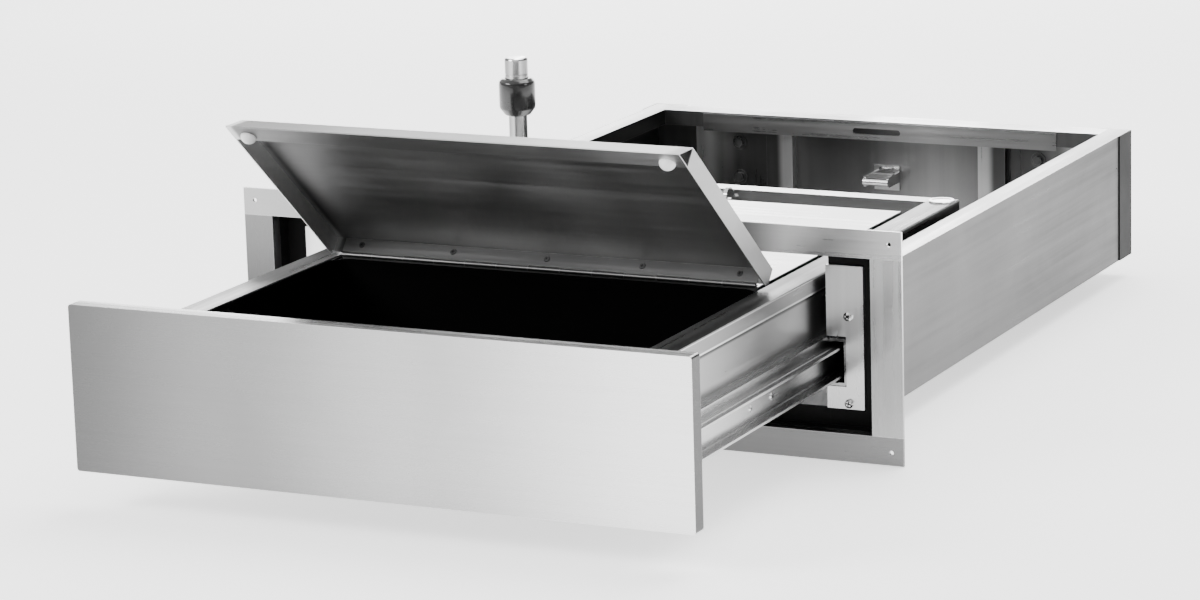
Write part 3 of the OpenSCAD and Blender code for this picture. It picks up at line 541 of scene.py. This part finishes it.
@dataclass(frozen=True)
class UndersideShadedSteel(SheetSteel):
    """Brushed sheet with painted light and shade on its underside, as the cover's has.

    Attributes:
        underside_shade: Painted light and shade of the underside, as a share of the outside's tone, along X.
        hinge: A point of the hinge's axis.
        angle: Degrees that the cover stands open in the frame.
        depth_from: Distance from the hinge's plane where the underside starts.
    """

    underside_shade: Shade = Shade(
        0, ((-0.23, 0.8), (-0.15, 1.0), (-0.04, 1.8), (0.05, 1.7), (0.14, 0.8), (0.23, 0.4))
    )
    hinge: tuple[float, float, float] = HINGE_POINT
    angle: float = OPEN_ANGLE
    depth_from: float = 0.012

    def lay_out(self, kit: Sheet) -> None:
        """Lays out the finish's nodes.

        Args:
            kit: The new material.
        """
        super().lay_out(kit)
        nodes, links, shader = kit.nodes, kit.links, kit.shader
        tilt = math.radians(self.angle)
        outward = (0.0, math.sin(tilt), math.cos(tilt))
        coords = nodes.new("ShaderNodeTexCoord")
        place = nodes.new("ShaderNodeVectorMath")
        place.operation = "SUBTRACT"
        place.inputs[1].default_value = self.hinge
        height = nodes.new("ShaderNodeVectorMath")
        height.operation = "DOT_PRODUCT"
        height.inputs[1].default_value = outward
        facing = nodes.new("ShaderNodeVectorMath")
        facing.operation = "DOT_PRODUCT"
        facing.inputs[1].default_value = outward
        links.new(coords.outputs["Object"], place.inputs[0])
        links.new(place.outputs["Vector"], height.inputs[0])
        links.new(coords.outputs["Normal"], facing.inputs[0])
        above = nodes.new("ShaderNodeMath")
        above.operation = "GREATER_THAN"
        above.inputs[1].default_value = self.depth_from
        under = nodes.new("ShaderNodeMath")
        under.operation = "LESS_THAN"
        under.inputs[1].default_value = UNDERSIDE
        both = nodes.new("ShaderNodeMath")
        both.operation = "MULTIPLY"
        links.new(height.outputs["Value"], above.inputs[0])
        links.new(facing.outputs["Value"], under.inputs[0])
        links.new(above.outputs["Value"], both.inputs[0])
        links.new(under.outputs["Value"], both.inputs[1])
        # Painted light and shade: the underside's colour is scaled along X.
        underside_shaded = nodes.new("ShaderNodeMix")
        underside_shaded.data_type = "RGBA"
        underside_shaded.blend_type = "MULTIPLY"
        links.new(self.underside_shade.factor(kit), underside_shaded.inputs[7])
        links.new(both.outputs["Value"], underside_shaded.inputs[0])
        links.new(shader.inputs["Base Color"].links[0].from_socket, underside_shaded.inputs[6])
        links.new(underside_shaded.outputs[2], shader.inputs["Base Color"])


@dataclass(frozen=True)
class Plated(Finish):
    """Bright plated or polished metal.

    Attributes:
        pits: Strength of the fine unevenness.
    """

    pits: float = 0.05

    def lay_out(self, kit: Sheet) -> None:
        """Lays out the finish's nodes.

        Args:
            kit: The new material.
        """
        grain = kit.group(
            Groups.grain(), kit.coords, depth=self.pits, fine_scale=700.0, streak_scale=90.0
        )
        smudge = kit.group(Groups.smudge(), kit.coords, scale=40.0)
        wear = kit.group(Groups.edge_wear(), kit.coords, radius=0.0006, amount=0.7)
        colour = kit.mix(smudge.outputs["Mask"], (self.tone * 0.88,) * 3, (self.tone,) * 3)
        kit.worn(wear.outputs["Mask"], colour.outputs[2], WORN_PLATE)
        kit.links.new(
            kit.span(grain.outputs["Streaks"], self.roughness * 0.7, self.roughness * 1.4, *MASK_RANGE),
            kit.shader.inputs["Roughness"],
        )
        kit.links.new(grain.outputs["Normal"], kit.shader.inputs["Normal"])
        kit.shader.inputs["Metallic"].default_value = 1.0


@dataclass(frozen=True)
class Coated(Finish):
    """Paint, oxide, moulded plastic or rubber.

    Attributes:
        texture: Strength of the surface texture.
        texture_scale: Fineness of that texture.
        wear: How bright the worn edges are.
        coat: Weight of a clear coat.
        specular: Specular level.
    """

    texture: float = 0.12
    texture_scale: float = 900.0
    wear: float = 0.15
    coat: float = 0.0
    specular: float = 0.5

    def lay_out(self, kit: Sheet) -> None:
        """Lays out the finish's nodes.

        Args:
            kit: The new material.
        """
        grain = kit.group(
            Groups.grain(), kit.coords, depth=self.texture, fine_scale=self.texture_scale,
            streak_scale=30.0,
        )
        smudge = kit.group(Groups.smudge(), kit.coords, scale=12.0)
        wear = kit.group(Groups.edge_wear(), kit.coords, radius=0.0009, amount=self.wear)
        colour = kit.mix(smudge.outputs["Mask"], (self.tone * 0.8,) * 3, (self.tone * 1.15,) * 3)
        kit.worn(wear.outputs["Mask"], colour.outputs[2], min(WORN_METAL, self.tone + WORN_STEP))
        kit.links.new(
            kit.span(smudge.outputs["Mask"], self.roughness - 0.06, self.roughness + 0.08),
            kit.shader.inputs["Roughness"],
        )
        kit.links.new(grain.outputs["Normal"], kit.shader.inputs["Normal"])
        kit.shader.inputs["Coat Weight"].default_value = self.coat
        kit.shader.inputs["Specular IOR Level"].default_value = self.specular


# Painted light and shade along X of the rear brackets, with painted highlights on their folded channels, and
# further out of the front plates
BRACKET_STOPS = (
    (0.100, 1.2), (0.106, 2.3), (0.130, 2.3), (0.140, 0.35), (0.19, 0.35), (0.215, 0.9), (0.234, 2.1),
)
# Painted light and shade along Z of the drawer's sides: the web, a painted shadow under the rim's lip, the
# lip and painted highlights on its edges
RIM_STOPS = (
    (-0.0540, 1.0), (0.0385, 1.0), (0.0410, 0.20), (0.0447, 0.10), (0.0452, 2.0), (0.0464, 2.0),
    (0.0472, 0.7), (0.0590, 0.7), (0.0596, 2.0), (0.0610, 2.0),
)
# Painted light and shade: lighter towards +X, with darker faces that look to +X and lighter top faces.
PANEL = SheetSteel(
    "face_steel_panel", 0.31, 0.27, Grain.ALONG_X, streak=0.05, depth=0.08,
    shades=(Shade(0, ((-0.34, 0.34), (-0.15, 0.70), (0.05, 1.30), (0.33, 2.80))),),
    facings=(FacingShade(0, 1, 0.08), FacingShade(2, 1, 2.0)),
)
# Painted light and shade: darker in the middle along X and lightest towards +X.
FACE_X = SheetSteel(
    "face_steel_x", 0.40, 0.27, Grain.ALONG_X, streak=0.05, depth=0.08,
    shades=(Shade(0, ((-0.37, 0.90), (-0.10, 0.30), (0.20, 0.24), (0.30, 1.8), (0.37, 2.45))),),
)
# Painted shade: a darker copy of the face steel for the trim's bottom, lighter towards +X.
FACE_LOW_SHADED = SheetSteel(
    "face_steel_low_shaded", 0.17, 0.27, Grain.ALONG_X, streak=0.05, depth=0.08,
    shades=(Shade(0, ((-0.37, 0.6), (0.37, 1.1))),),
)
# Painted light and shade: much darker towards -X and lighter towards the top.
FACE_Z = SheetSteel(
    "face_steel_z", 0.40, 0.27, Grain.ALONG_Z, streak=0.05, depth=0.08,
    shades=(
        Shade(0, ((-0.37, 0.20), (-0.30, 0.20), (0.37, 0.9))),
        Shade(2, ((-0.12, 1.0), (-0.03, 0.9), (0.11, 2.3))),
    ),
)
# Painted light and shade: a painted highlight on the left flange, lighter towards +X, and painted shade on
# the underside.
COVER = UndersideShadedSteel(
    "cover_steel", 0.38, 0.46, Grain.ALONG_X, streak=0.04, depth=0.01,
    shades=(Shade(0, ((-0.239, 1.8), (-0.234, 0.50), (0.0, 0.90), (0.225, 1.90), (0.238, 1.15))),),
)
# Painted light and shade: painted highlights on the rim's edges, a painted shadow under its lip, lighter at
# the front, darkest where the sides pass the wall along Y, and darker top faces.
DRAWER_Y = SheetSteel(
    "drawer_steel_y", 0.36, 0.30, Grain.ALONG_Y, streak=0.03, depth=0.012,
    shades=(
        Shade(2, RIM_STOPS),
        Shade(1, (
            (-0.40, 1.25), (-0.25, 1.05), (-0.06, 0.8), (0.0, 0.65), (0.03, 0.4), (0.06, 0.5), (0.42, 0.8),
        )),
    ),
    facings=(FacingShade(2, 1, 0.24),),
)
# Painted light: lighter top faces.
DRAWER_X = SheetSteel("drawer_steel_x", 0.36, 0.30, Grain.ALONG_X, facings=(FacingShade(2, 1, 1.9),))
DECK = SheetSteel("deck_steel", 0.80, 0.30, Grain.ALONG_X, streak=0.04)
RECESS = SheetSteel("recess_steel", 0.24, 0.36, Grain.ALONG_X)
# Painted light and shade: a low tone for its shaded sides, darker towards the back, and much lighter top
# faces.
HOUSING = SheetSteel(
    "housing_steel", 0.095, 0.32, Grain.ALONG_Y, streak=0.05, depth=0.04,
    shades=(Shade(1, ((0.0, 1.1), (0.88, 0.5))),), facings=(FacingShade(2, 1, 9.0),),
)
# Painted light and shade: a low tone for the shaded rear wall, a lighter band near the middle along X, and
# lighter top faces.
HOUSING_X = SheetSteel(
    "housing_steel_x", 0.22, 0.34, Grain.ALONG_Z, streak=0.04, depth=0.015,
    shades=(Shade(0, ((-0.30, 0.5), (-0.20, 0.9), (-0.05, 0.6), (0.06, 2.0), (0.15, 0.8), (0.30, 1.2))),),
    facings=(FacingShade(2, 1, 3.6),),
)
# Painted light: a lighter copy of the rear wall's steel, lightest near the middle along X and darker at the
# ends.
REAR_STRIP = SheetSteel(
    "rear_strip_steel", 0.46, 0.30, Grain.ALONG_X, streak=0.04, depth=0.02,
    shades=(Shade(0, ((-0.30, 0.55), (-0.12, 1.2), (0.05, 1.8), (0.20, 1.3), (0.30, 0.6))),),
)
# Painted light and shade: painted highlights on the folded channels and outer edges along X, darker towards
# the bottom.
BRACKET = SheetSteel(
    "bracket_steel", 0.42, 0.30, Grain.ALONG_Z, streak=0.03, depth=0.01,
    shades=(
        Shade(0, BRACKET_STOPS, mirrored=True),
        Shade(2, ((-0.073, 0.72), (0.0, 0.90), (0.03, 1.0), (0.073, 1.0))),
    ),
)
# Painted light and shade: lighter at the front, darker towards the back, with darker faces that look to +X
# and lighter top faces.
SLIDE = SheetSteel(
    "slide_steel", 0.50, 0.24, Grain.ALONG_Y, streak=0.0, wear=0.0, depth=0.0,
    shades=(Shade(1, ((-0.39, 1.6), (-0.20, 1.4), (-0.08, 0.9), (0.0, 0.7), (0.42, 0.8))),),
    facings=(FacingShade(0, 1, 0.70), FacingShade(2, 1, 1.2)),
)
# Painted shade: darker towards the middle and towards +X along X.
HINGE = SheetSteel(
    "hinge_steel", 0.34, 0.42, Grain.ALONG_X, wear=0.8, depth=0.02,
    shades=(Shade(0, ((-0.24, 1.0), (0.0, 0.6), (0.24, 0.7))),),
)
DARK_STEEL = Coated("dark_steel", 0.008, 0.6, wear=0.04, specular=0.08)
DARK_STRIP = Coated("dark_strip", 0.02, 0.5, wear=0.05, specular=0.06)
DARK_SCREW = Plated("dark_fastener", 0.14, 0.35)
BRIGHT = Plated("bright_steel", 0.80, 0.10, pits=0.02)
# Painted highlight and shade: a bright stripe right of the post's middle, darker at its left and right edges.
POST = SheetSteel(
    "bright_post", 0.80, 0.15, Grain.ALONG_Z, streak=0.02, wear=0.2, depth=0.01,
    shades=(Shade(0, ((-0.2655, 0.10), (-0.2585, 0.30), (-0.2520, 0.50), (-0.2470, 1.15), (-0.2400, 0.30))),),
)
SCREW = Plated("screw_steel", 0.75, 0.16)
BALL = Plated("ball_steel", 0.35, 0.25)
TUB = Coated("tub_black", 0.002, 0.8, texture=0.2, wear=0.0, specular=0.02)
GRIP = Coated("grip_black", 0.010, 0.25, texture=0.0, wear=0.0, coat=0.4, specular=0.5)
# Painted shade: near-black, for the shade inside the screws' cross recesses.
RECESS_SHADE = Coated("recess_painted_shade", 0.01, 0.6, texture=0.05, wear=0.0, specular=0.2)
PAD = Coated("pad_white", 0.80, 0.5, texture=0.05, wear=0.0)


# Sub-assemblies


@dataclass
class Dressed:
    """One CAD node's finish and edge."""

    node: str
    finish: Finish
    edge: Edge = Edge.SHEET


@dataclass
class SubAssembly:
    """A group of CAD nodes and the pieces built on them."""

    title: str
    parts: list[Dressed] = field(default_factory=list)

    def dress(self) -> None:
        """Gives each CAD node its finish and its rounded edges."""
        for part in self.parts:
            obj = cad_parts[part.node]
            obj.data.materials.clear()
            obj.data.materials.append(part.finish.material())
            width, segments = part.edge.value
            if segments:
                bevel = obj.modifiers.new("edges", "BEVEL")
                bevel.width = width
                bevel.segments = segments
                bevel.limit_method = "ANGLE"
                bevel.angle_limit = FOLD_LIMIT
                bevel.harden_normals = True
            LOG.info("%s: %s in %s", self.title, part.node, part.finish.name)

    def build(self) -> None:
        """Adds the sub-assembly's own pieces. The plain group has none."""


def make_piece(name: str, mesh: bpy.types.Mesh, finish: Finish, body: str) -> bpy.types.Object:
    """Links a mesh as a piece that rides on a body.

    Args:
        name: The piece's name.
        mesh: Its mesh, in the row frame.
        finish: Its finish.
        body: The body that it rides on.

    Returns:
        The piece.
    """
    obj = bpy.data.objects.new(name, mesh)
    bpy.context.scene.collection.objects.link(obj)
    mesh.materials.append(finish.material())
    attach(obj, body)
    LOG.info("piece %s on %s: %d faces", name, body, len(mesh.polygons))
    return obj


@dataclass(frozen=True)
class Turned:
    """A turned piece: a closed outline that goes round an upright axis.

    Attributes:
        name: The piece's name.
        axis: X and Y of the axis.
        outline: Radius and height of each point, bottom to top on the outside.
        finish: Its finish.
        slot: The record's material slot. Not used.
        body: The body that it rides on.
        replaces: The CAD node that it stands for.
        steps: Number of segments round the axis.
        rounding: Width of the rounded edges.
    """

    name: str
    axis: tuple[float, float]
    outline: tuple[tuple[float, float], ...]
    finish: Finish
    slot: str
    body: str
    replaces: str
    steps: int = 96
    rounding: float = 0.0012

    def build(self) -> bpy.types.Object:
        """Spins the outline and rounds its edges.

        Returns:
            The piece.
        """
        work = bmesh.new()
        rings = []
        for radius, height in self.outline:
            ring = []
            for step in range(self.steps):
                turn = 2 * math.pi * step / self.steps
                ring.append(work.verts.new((
                    self.axis[0] + radius * math.cos(turn), self.axis[1] + radius * math.sin(turn), height,
                )))
            rings.append(ring)
        for lower, upper in zip(rings, rings[1:] + rings[:1]):
            for step in range(self.steps):
                after = (step + 1) % self.steps
                work.faces.new((lower[step], lower[after], upper[after], upper[step]))
        bmesh.ops.recalc_face_normals(work, faces=work.faces)
        mesh = bpy.data.meshes.new(self.name)
        work.to_mesh(mesh)
        work.free()
        mesh.shade_smooth()
        obj = make_piece(self.name, mesh, self.finish, self.body)
        bevel = obj.modifiers.new("rounding", "BEVEL")
        bevel.width = self.rounding
        bevel.segments = 4
        bevel.limit_method = "ANGLE"
        bevel.angle_limit = ROUNDING_LIMIT
        bevel.harden_normals = True
        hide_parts(self.replaces)
        return obj


@dataclass(frozen=True)
class CrossRecess:
    """Painted shade of the cross recesses in a row of screw heads: thin near-black crosses on the heads.

    Attributes:
        name: The piece's name.
        centres: Middle of each head's top.
        outward: Direction that the heads face.
        size: Length of a cross's arm from tip to tip.
        body: The body that they ride on.
        spin: Degrees that each cross is turned more than the one before.
        first_spin: Degrees that the first is turned.
        arm: Half the arm's width at its root, as a share of the size.
        taper: The tip's width, as a share of the root's.
        thick: Half the recess's thickness.
    """

    name: str
    centres: tuple[tuple[float, float, float], ...]
    outward: tuple[float, float, float]
    size: float
    body: str
    spin: float = 34.0
    first_spin: float = 12.0
    arm: float = 0.11
    taper: float = 0.6
    thick: float = 0.00006

    def build(self) -> bpy.types.Object:
        """Builds all crosses as one piece of tapered arms.

        Returns:
            The piece.
        """
        work = bmesh.new()
        out = Vector(self.outward).normalized()
        side = out.orthogonal().normalized()
        reach, half = self.size / 2, self.size * self.arm
        tip = half * self.taper
        plan = [
            (reach, tip), (half, half), (tip, reach), (-tip, reach), (-half, half), (-reach, tip),
            (-reach, -tip), (-half, -half), (-tip, -reach), (tip, -reach), (half, -half), (reach, -tip),
        ]
        for index, centre in enumerate(self.centres):
            turn = Matrix.Rotation(math.radians(self.spin * index + self.first_spin), 3, out)
            u = turn @ side
            v = out.cross(u)
            low = [work.verts.new(Vector(centre) + u * x + v * y - out * self.thick) for x, y in plan]
            high = [work.verts.new(Vector(centre) + u * x + v * y + out * self.thick) for x, y in plan]
            work.faces.new(high)
            work.faces.new(list(reversed(low)))
            for k in range(len(plan)):
                after = (k + 1) % len(plan)
                work.faces.new((low[k], low[after], high[after], high[k]))
        bmesh.ops.recalc_face_normals(work, faces=work.faces)
        mesh = bpy.data.meshes.new(self.name)
        work.to_mesh(mesh)
        work.free()
        return make_piece(self.name, mesh, RECESS_SHADE, self.body)


def pair(name: str) -> list[str]:
    """Both sides' names of a node.

    Args:
        name: The name without its side.

    Returns:
        The left and the right node's name.
    """
    return [f"{name}_left", f"{name}_right"]


def dressed(names: list[str], finish: Finish, edge: Edge = Edge.SHEET) -> list[Dressed]:
    """The same finish for several nodes.

    Args:
        names: The CAD nodes.
        finish: Their finish.
        edge: Their edge.

    Returns:
        One entry for each node.
    """
    return [Dressed(name, finish, edge) for name in names]


@dataclass
class WallTrim(SubAssembly):
    """The wall trim with its front plates and their screws.

    Attributes:
        screw_x: X of the plate screws.
        screw_z: Their heights.
        cross: Size of their recesses.
    """

    screw_x: float = 0.2982
    screw_z: tuple[float, ...] = (0.021825, -0.06693)
    cross: float = 0.0056

    def build(self) -> None:
        """Adds the painted shade of the plate screws' cross recesses."""
        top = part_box("plate_screws")[0].y
        centres = tuple((side * self.screw_x, top, z) for side in (-1, 1) for z in self.screw_z)
        CrossRecess("plate_screw_recess_shade", centres, (0, -1, 0), self.cross, "housing").build()


@dataclass
class Cover(SubAssembly):
    """The cover with its hinge.

    Attributes:
        hinge: A point of the hinge's axis.
        angle: Degrees that it stands open.
        screw_x: X of the hinge screws.
        screw_up: Their distance from the axis along the hinge leaf.
        head: Distance of their heads' tops from the leaf's plane.
        cross: Size of their recesses.
    """

    hinge: tuple[float, float, float] = HINGE_POINT
    angle: float = OPEN_ANGLE
    screw_x: tuple[float, ...] = (-0.211134, -0.105567, 0.0, 0.105567, 0.211134)
    screw_up: float = 0.01147
    head: float = 0.00222
    cross: float = 0.0036

    def build(self) -> None:
        """Adds the painted shade of the hinge screws' cross recesses."""
        tilt = math.radians(self.angle)
        along = Vector((0, math.sin(tilt), math.cos(tilt)))
        out = Vector((0, -math.cos(tilt), math.sin(tilt)))
        base = Vector(self.hinge) + along * self.screw_up + out * self.head
        centres = tuple((x, base.y, base.z) for x in self.screw_x)
        CrossRecess("hinge_screw_recess_shade", centres, tuple(out), self.cross, "cover").build()


@dataclass
class Handle(SubAssembly):
    """The teller's handle: its post, grip and release button.

    Attributes:
        axis: X and Y of the post.
        post_r: Radius of the post.
        button_r: Radius of the button.
        grip_r: Radius of the grip.
        grip_z: Height of the grip's lower end.
        grip_h: Height of the grip.
        button_top: Height of the button's top.
    """

    axis: tuple[float, float] = (-0.25225, 0.40475)
    post_r: float = 0.0103
    button_r: float = 0.01285
    grip_r: float = 0.02035
    grip_z: float = 0.128
    grip_h: float = 0.042
    button_top: float = 0.193

    def build(self) -> None:
        """Turns the grip and the button, with shoulders in shares of their radius and height."""
        r, z, h = self.grip_r, self.grip_z, self.grip_h
        bore = self.button_r + 0.0003
        low = z + h * 0.32
        Turned("grip_turned", self.axis, (
            (self.post_r + 0.0001, z), (r * 0.62, z), (r * 0.72, z + h * 0.03), (r * 0.97, z + h * 0.19),
            (r, z + h * 0.26), (r, z + h * 0.84), (r * 0.97, z + h * 0.91), (r * 0.84, z + h * 0.985),
            (r * 0.76, z + h), (bore, z + h), (bore, low), (self.post_r + 0.0001, low),
        ), GRIP, "grip_black", "drawer", "handle_grip").build()
        r, top, foot = self.button_r, self.button_top, self.grip_z + self.grip_h * 0.32 + 0.007
        Turned("button_turned", self.axis, (
            (0.0002, foot), (r, foot), (r, z + h + 0.0035), (r * 0.985, z + h + 0.0038),
            (r * 0.985, z + h + 0.0046), (r, z + h + 0.0049), (r, top - 0.0024), (r * 0.95, top - 0.0008),
            (r * 0.86, top), (0.0002, top - 0.0001),
        ), POST, "bright_steel", "button", "release_button", rounding=0.0005).build()


@dataclass
class Rails(SubAssembly):
    """The ball slides with their screws.

    Attributes:
        z: Height of the screws.
        rows: Y of each screw.
        cross: Size of their recesses.
    """

    z: float = -0.0255
    rows: tuple[float, ...] = (-0.168456, -0.118391, 0.096, 0.146065, 0.33825, 0.388315)
    cross: float = 0.0040

    def build(self) -> None:
        """Adds the painted shade of the rail screws' cross recesses on both sides."""
        low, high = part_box("rail_screws")
        for side, x in (("left", low.x), ("right", high.x)):
            centres = tuple((x, y, self.z) for y in self.rows)
            out = (-1, 0, 0) if side == "left" else (1, 0, 0)
            CrossRecess(f"rail_screw_recess_shade_{side}", centres, out, self.cross, "drawer").build()


def assemblies() -> list[SubAssembly]:
    """Every sub-assembly with its finishes.

    Returns:
        The sub-assemblies.
    """
    return [
        WallTrim(
            "wall trim",
            dressed(["trim_top"], FACE_X, Edge.SOFT)
            + dressed(["trim_bottom"], FACE_LOW_SHADED, Edge.SOFT)
            + dressed(pair("trim"), FACE_Z, Edge.SOFT)
            + dressed(["sleeve_top", "sleeve_bottom"] + pair("sleeve"), DARK_STEEL, Edge.SHARP)
            + dressed(pair("front_plate"), BRACKET)
            + dressed(["plate_screws"], SCREW),
        ),
        SubAssembly(
            "housing",
            dressed(pair("housing") + ["housing_floor"], HOUSING)
            + dressed(["housing_rear"], HOUSING_X)
            + dressed(["rear_strip"], REAR_STRIP)
            + dressed(pair("corner_strip"), DARK_STRIP)
            + dressed(pair("rear_bracket"), BRACKET)
            + dressed(["rear_bolts"], DARK_SCREW)
            + dressed(["keeper"], BRIGHT, Edge.SOFT),
        ),
        Rails(
            "slides",
            dressed(pair("slide_mount"), DARK_STEEL)
            + dressed(pair("slide_outer") + pair("slide_inner") + pair("rail_spacer"), SLIDE)
            + dressed(["slide_screws", "rail_screws"], SCREW, Edge.SHARP)
            + dressed(pair("ball_cage"), BALL, Edge.SHARP),
        ),
        SubAssembly(
            "drawer",
            dressed(["front_panel"], PANEL, Edge.FOLD)
            + dressed(pair("drawer_side"), DRAWER_Y)
            + dressed(["front_deck_plate", "drawer_bottom", "drawer_back"], DRAWER_X)
            + dressed(["rear_deck_plate"], DECK)
            + dressed(["recess_pan"], RECESS)
            + dressed(["deposit_tub"], TUB, Edge.SHEET),
        ),
        Cover(
            "cover",
            dressed(["cover_pan"], COVER)
            + dressed(["hinge_leaf_cover", "hinge_leaf_fixed", "hinge_pin"], HINGE, Edge.SHARP)
            + dressed(["hinge_screws_cover"], DARK_SCREW, Edge.SHARP)
            + dressed(["cover_pads"], PAD, Edge.SHARP),
        ),
        Handle(
            "handle",
            dressed(["handle_post"], POST, Edge.SHARP)
            + dressed(["release_button"], POST, Edge.SHARP)
            + dressed(["handle_grip"], GRIP, Edge.SOFT)
            + dressed(pair("rim_disc"), SCREW, Edge.SHARP)
            + dressed(["release_rod"], POST, Edge.SHARP),
        ),
        SubAssembly(
            "latch",
            dressed(["latch_ears", "cross_shaft", "latch_hook"], BRIGHT, Edge.SHEET),
        ),
    ]


# Studio


@dataclass(frozen=True)
class Lamp:
    """An area light that looks at the object.

    Attributes:
        name: The light's name.
        at: Its place.
        power: Its power in watts.
        size: Width and height.
        aim: The point it looks at.
    """

    name: str
    at: tuple[float, float, float]
    power: float
    size: tuple[float, float]
    aim: tuple[float, float, float] = (0.0, 0.1, 0.0)

    def build(self) -> bpy.types.Object:
        """Makes the light.

        Returns:
            The light object.
        """
        data = bpy.data.lights.new(self.name, "AREA")
        data.shape = "RECTANGLE"
        data.size, data.size_y = self.size
        data.energy = self.power
        obj = bpy.data.objects.new(self.name, data)
        bpy.context.scene.collection.objects.link(obj)
        obj.location = self.at
        obj.visible_camera = False
        obj.rotation_euler = (Vector(self.aim) - Vector(self.at)).to_track_quat("-Z", "Y").to_euler()
        return obj


@dataclass(frozen=True)
class Camera:
    """The photograph's camera, fitted to the object's straight edges.

    Attributes:
        at: Its place.
        azimuth: Degrees to the right of the drawer's front.
        elevation: Degrees above the horizon.
        roll: Degrees about its own axis.
        lens: Focal length for a sensor 36 mm wide.
    """

    at: tuple[float, float, float] = (1.83231, -3.66885, 0.96183)
    azimuth: float = 26.03
    elevation: float = 12.91
    roll: float = -1.70
    lens: float = 124.83

    def build(self) -> bpy.types.Object:
        """Makes the camera and sets it as the scene's.

        Returns:
            The camera object.
        """
        a, e, r = (math.radians(v) for v in (self.azimuth, self.elevation, self.roll))
        ahead = Vector((-math.sin(a) * math.cos(e), math.cos(a) * math.cos(e), -math.sin(e)))
        level = Vector((math.cos(a), math.sin(a), 0))
        upright = level.cross(ahead)
        right = level * math.cos(r) + upright * math.sin(r)
        up = upright * math.cos(r) - level * math.sin(r)
        data = bpy.data.cameras.new("photo_camera")
        data.lens = self.lens
        data.sensor_width = 36
        data.clip_start, data.clip_end = 0.1, 60
        obj = bpy.data.objects.new("photo_camera", data)
        bpy.context.scene.collection.objects.link(obj)
        turn = Matrix((right, up, -ahead)).transposed().to_4x4()
        obj.matrix_world = Matrix.Translation(self.at) @ turn
        bpy.context.scene.camera = obj
        return obj


@dataclass(frozen=True)
class Studio:
    """Pale floor, soft lights and a white room.

    Attributes:
        floor_z: Height of the floor.
        floor_tone: Grey value of the floor.
        glow: Light that the floor, a lit table, gives off.
        room: Strength of the white room.
        lamps: The area lights.
    """

    floor_z: float
    floor_tone: float = 0.95
    glow: float = 1.25
    room: float = 1.3
    lamps: tuple[Lamp, ...] = (
        Lamp("key", (-2.6, -2.4, 2.2), 130, (2.0, 1.4)),
        Lamp("top", (0.4, 1.1, 2.6), 110, (2.2, 2.2)),
        Lamp("rear_card", (-1.2, 3.2, 0.75), 60, (3.2, 0.7), (0.2, 0.3, 0.1)),
        Lamp("side_card", (3.0, 0.2, 1.0), 14, (1.0, 1.0)),
    )

    def build(self) -> None:
        """Builds the floor, lights and room."""
        bpy.ops.mesh.primitive_plane_add(size=FLOOR_SIZE, location=(0, 0, self.floor_z))
        floor = bpy.context.object
        floor.name = "studio_floor"
        paint = bpy.data.materials.new("studio_floor")
        paint.use_nodes = True
        shader = paint.node_tree.nodes["Principled BSDF"]
        shader.inputs["Base Color"].default_value = (*((self.floor_tone,) * 3), 1)
        shader.inputs["Roughness"].default_value = 0.9
        shader.inputs["Emission Color"].default_value = (1, 1, 1, 1)
        shader.inputs["Emission Strength"].default_value = self.glow
        floor.data.materials.append(paint)
        world = bpy.data.worlds.new("studio_room")
        bpy.context.scene.world = world
        world.use_nodes = True
        nodes, links = world.node_tree.nodes, world.node_tree.links
        back = nodes["Background"]
        back.inputs["Strength"].default_value = self.room
        coords = nodes.new("ShaderNodeTexCoord")
        parts = nodes.new("ShaderNodeSeparateXYZ")
        side = nodes.new("ShaderNodeMapRange")
        side.inputs["From Min"].default_value = -1.0
        side.inputs["From Max"].default_value = 1.0
        side.inputs["To Min"].default_value = 1.2
        side.inputs["To Max"].default_value = 0.4
        height = nodes.new("ShaderNodeMapRange")
        height.interpolation_type = "SMOOTHSTEP"
        height.inputs["From Min"].default_value = -0.1
        height.inputs["From Max"].default_value = 0.75
        height.inputs["To Min"].default_value = 0.3
        height.inputs["To Max"].default_value = 1.1
        both = nodes.new("ShaderNodeMath")
        both.operation = "MULTIPLY"
        links.new(coords.outputs["Generated"], parts.inputs["Vector"])
        links.new(parts.outputs["X"], side.inputs["Value"])
        links.new(parts.outputs["Z"], height.inputs["Value"])
        links.new(side.outputs["Result"], both.inputs[0])
        links.new(height.outputs["Result"], both.inputs[1])
        links.new(both.outputs["Value"], back.inputs["Color"])
        for lamp in self.lamps:
            lamp.build()
        LOG.info("studio: floor at %.4f m, %d lamps", self.floor_z, len(self.lamps))


def main() -> None:
    """Dresses the frame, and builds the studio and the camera."""
    logging.basicConfig(level=logging.INFO, format="%(name)s: %(message)s")
    for group in assemblies():
        group.dress()
        group.build()
    Studio(floor_z=START_BOUNDS[0].z - FLOOR_GAP).build()
    Camera().build()


if __name__ == "__main__":
    main()
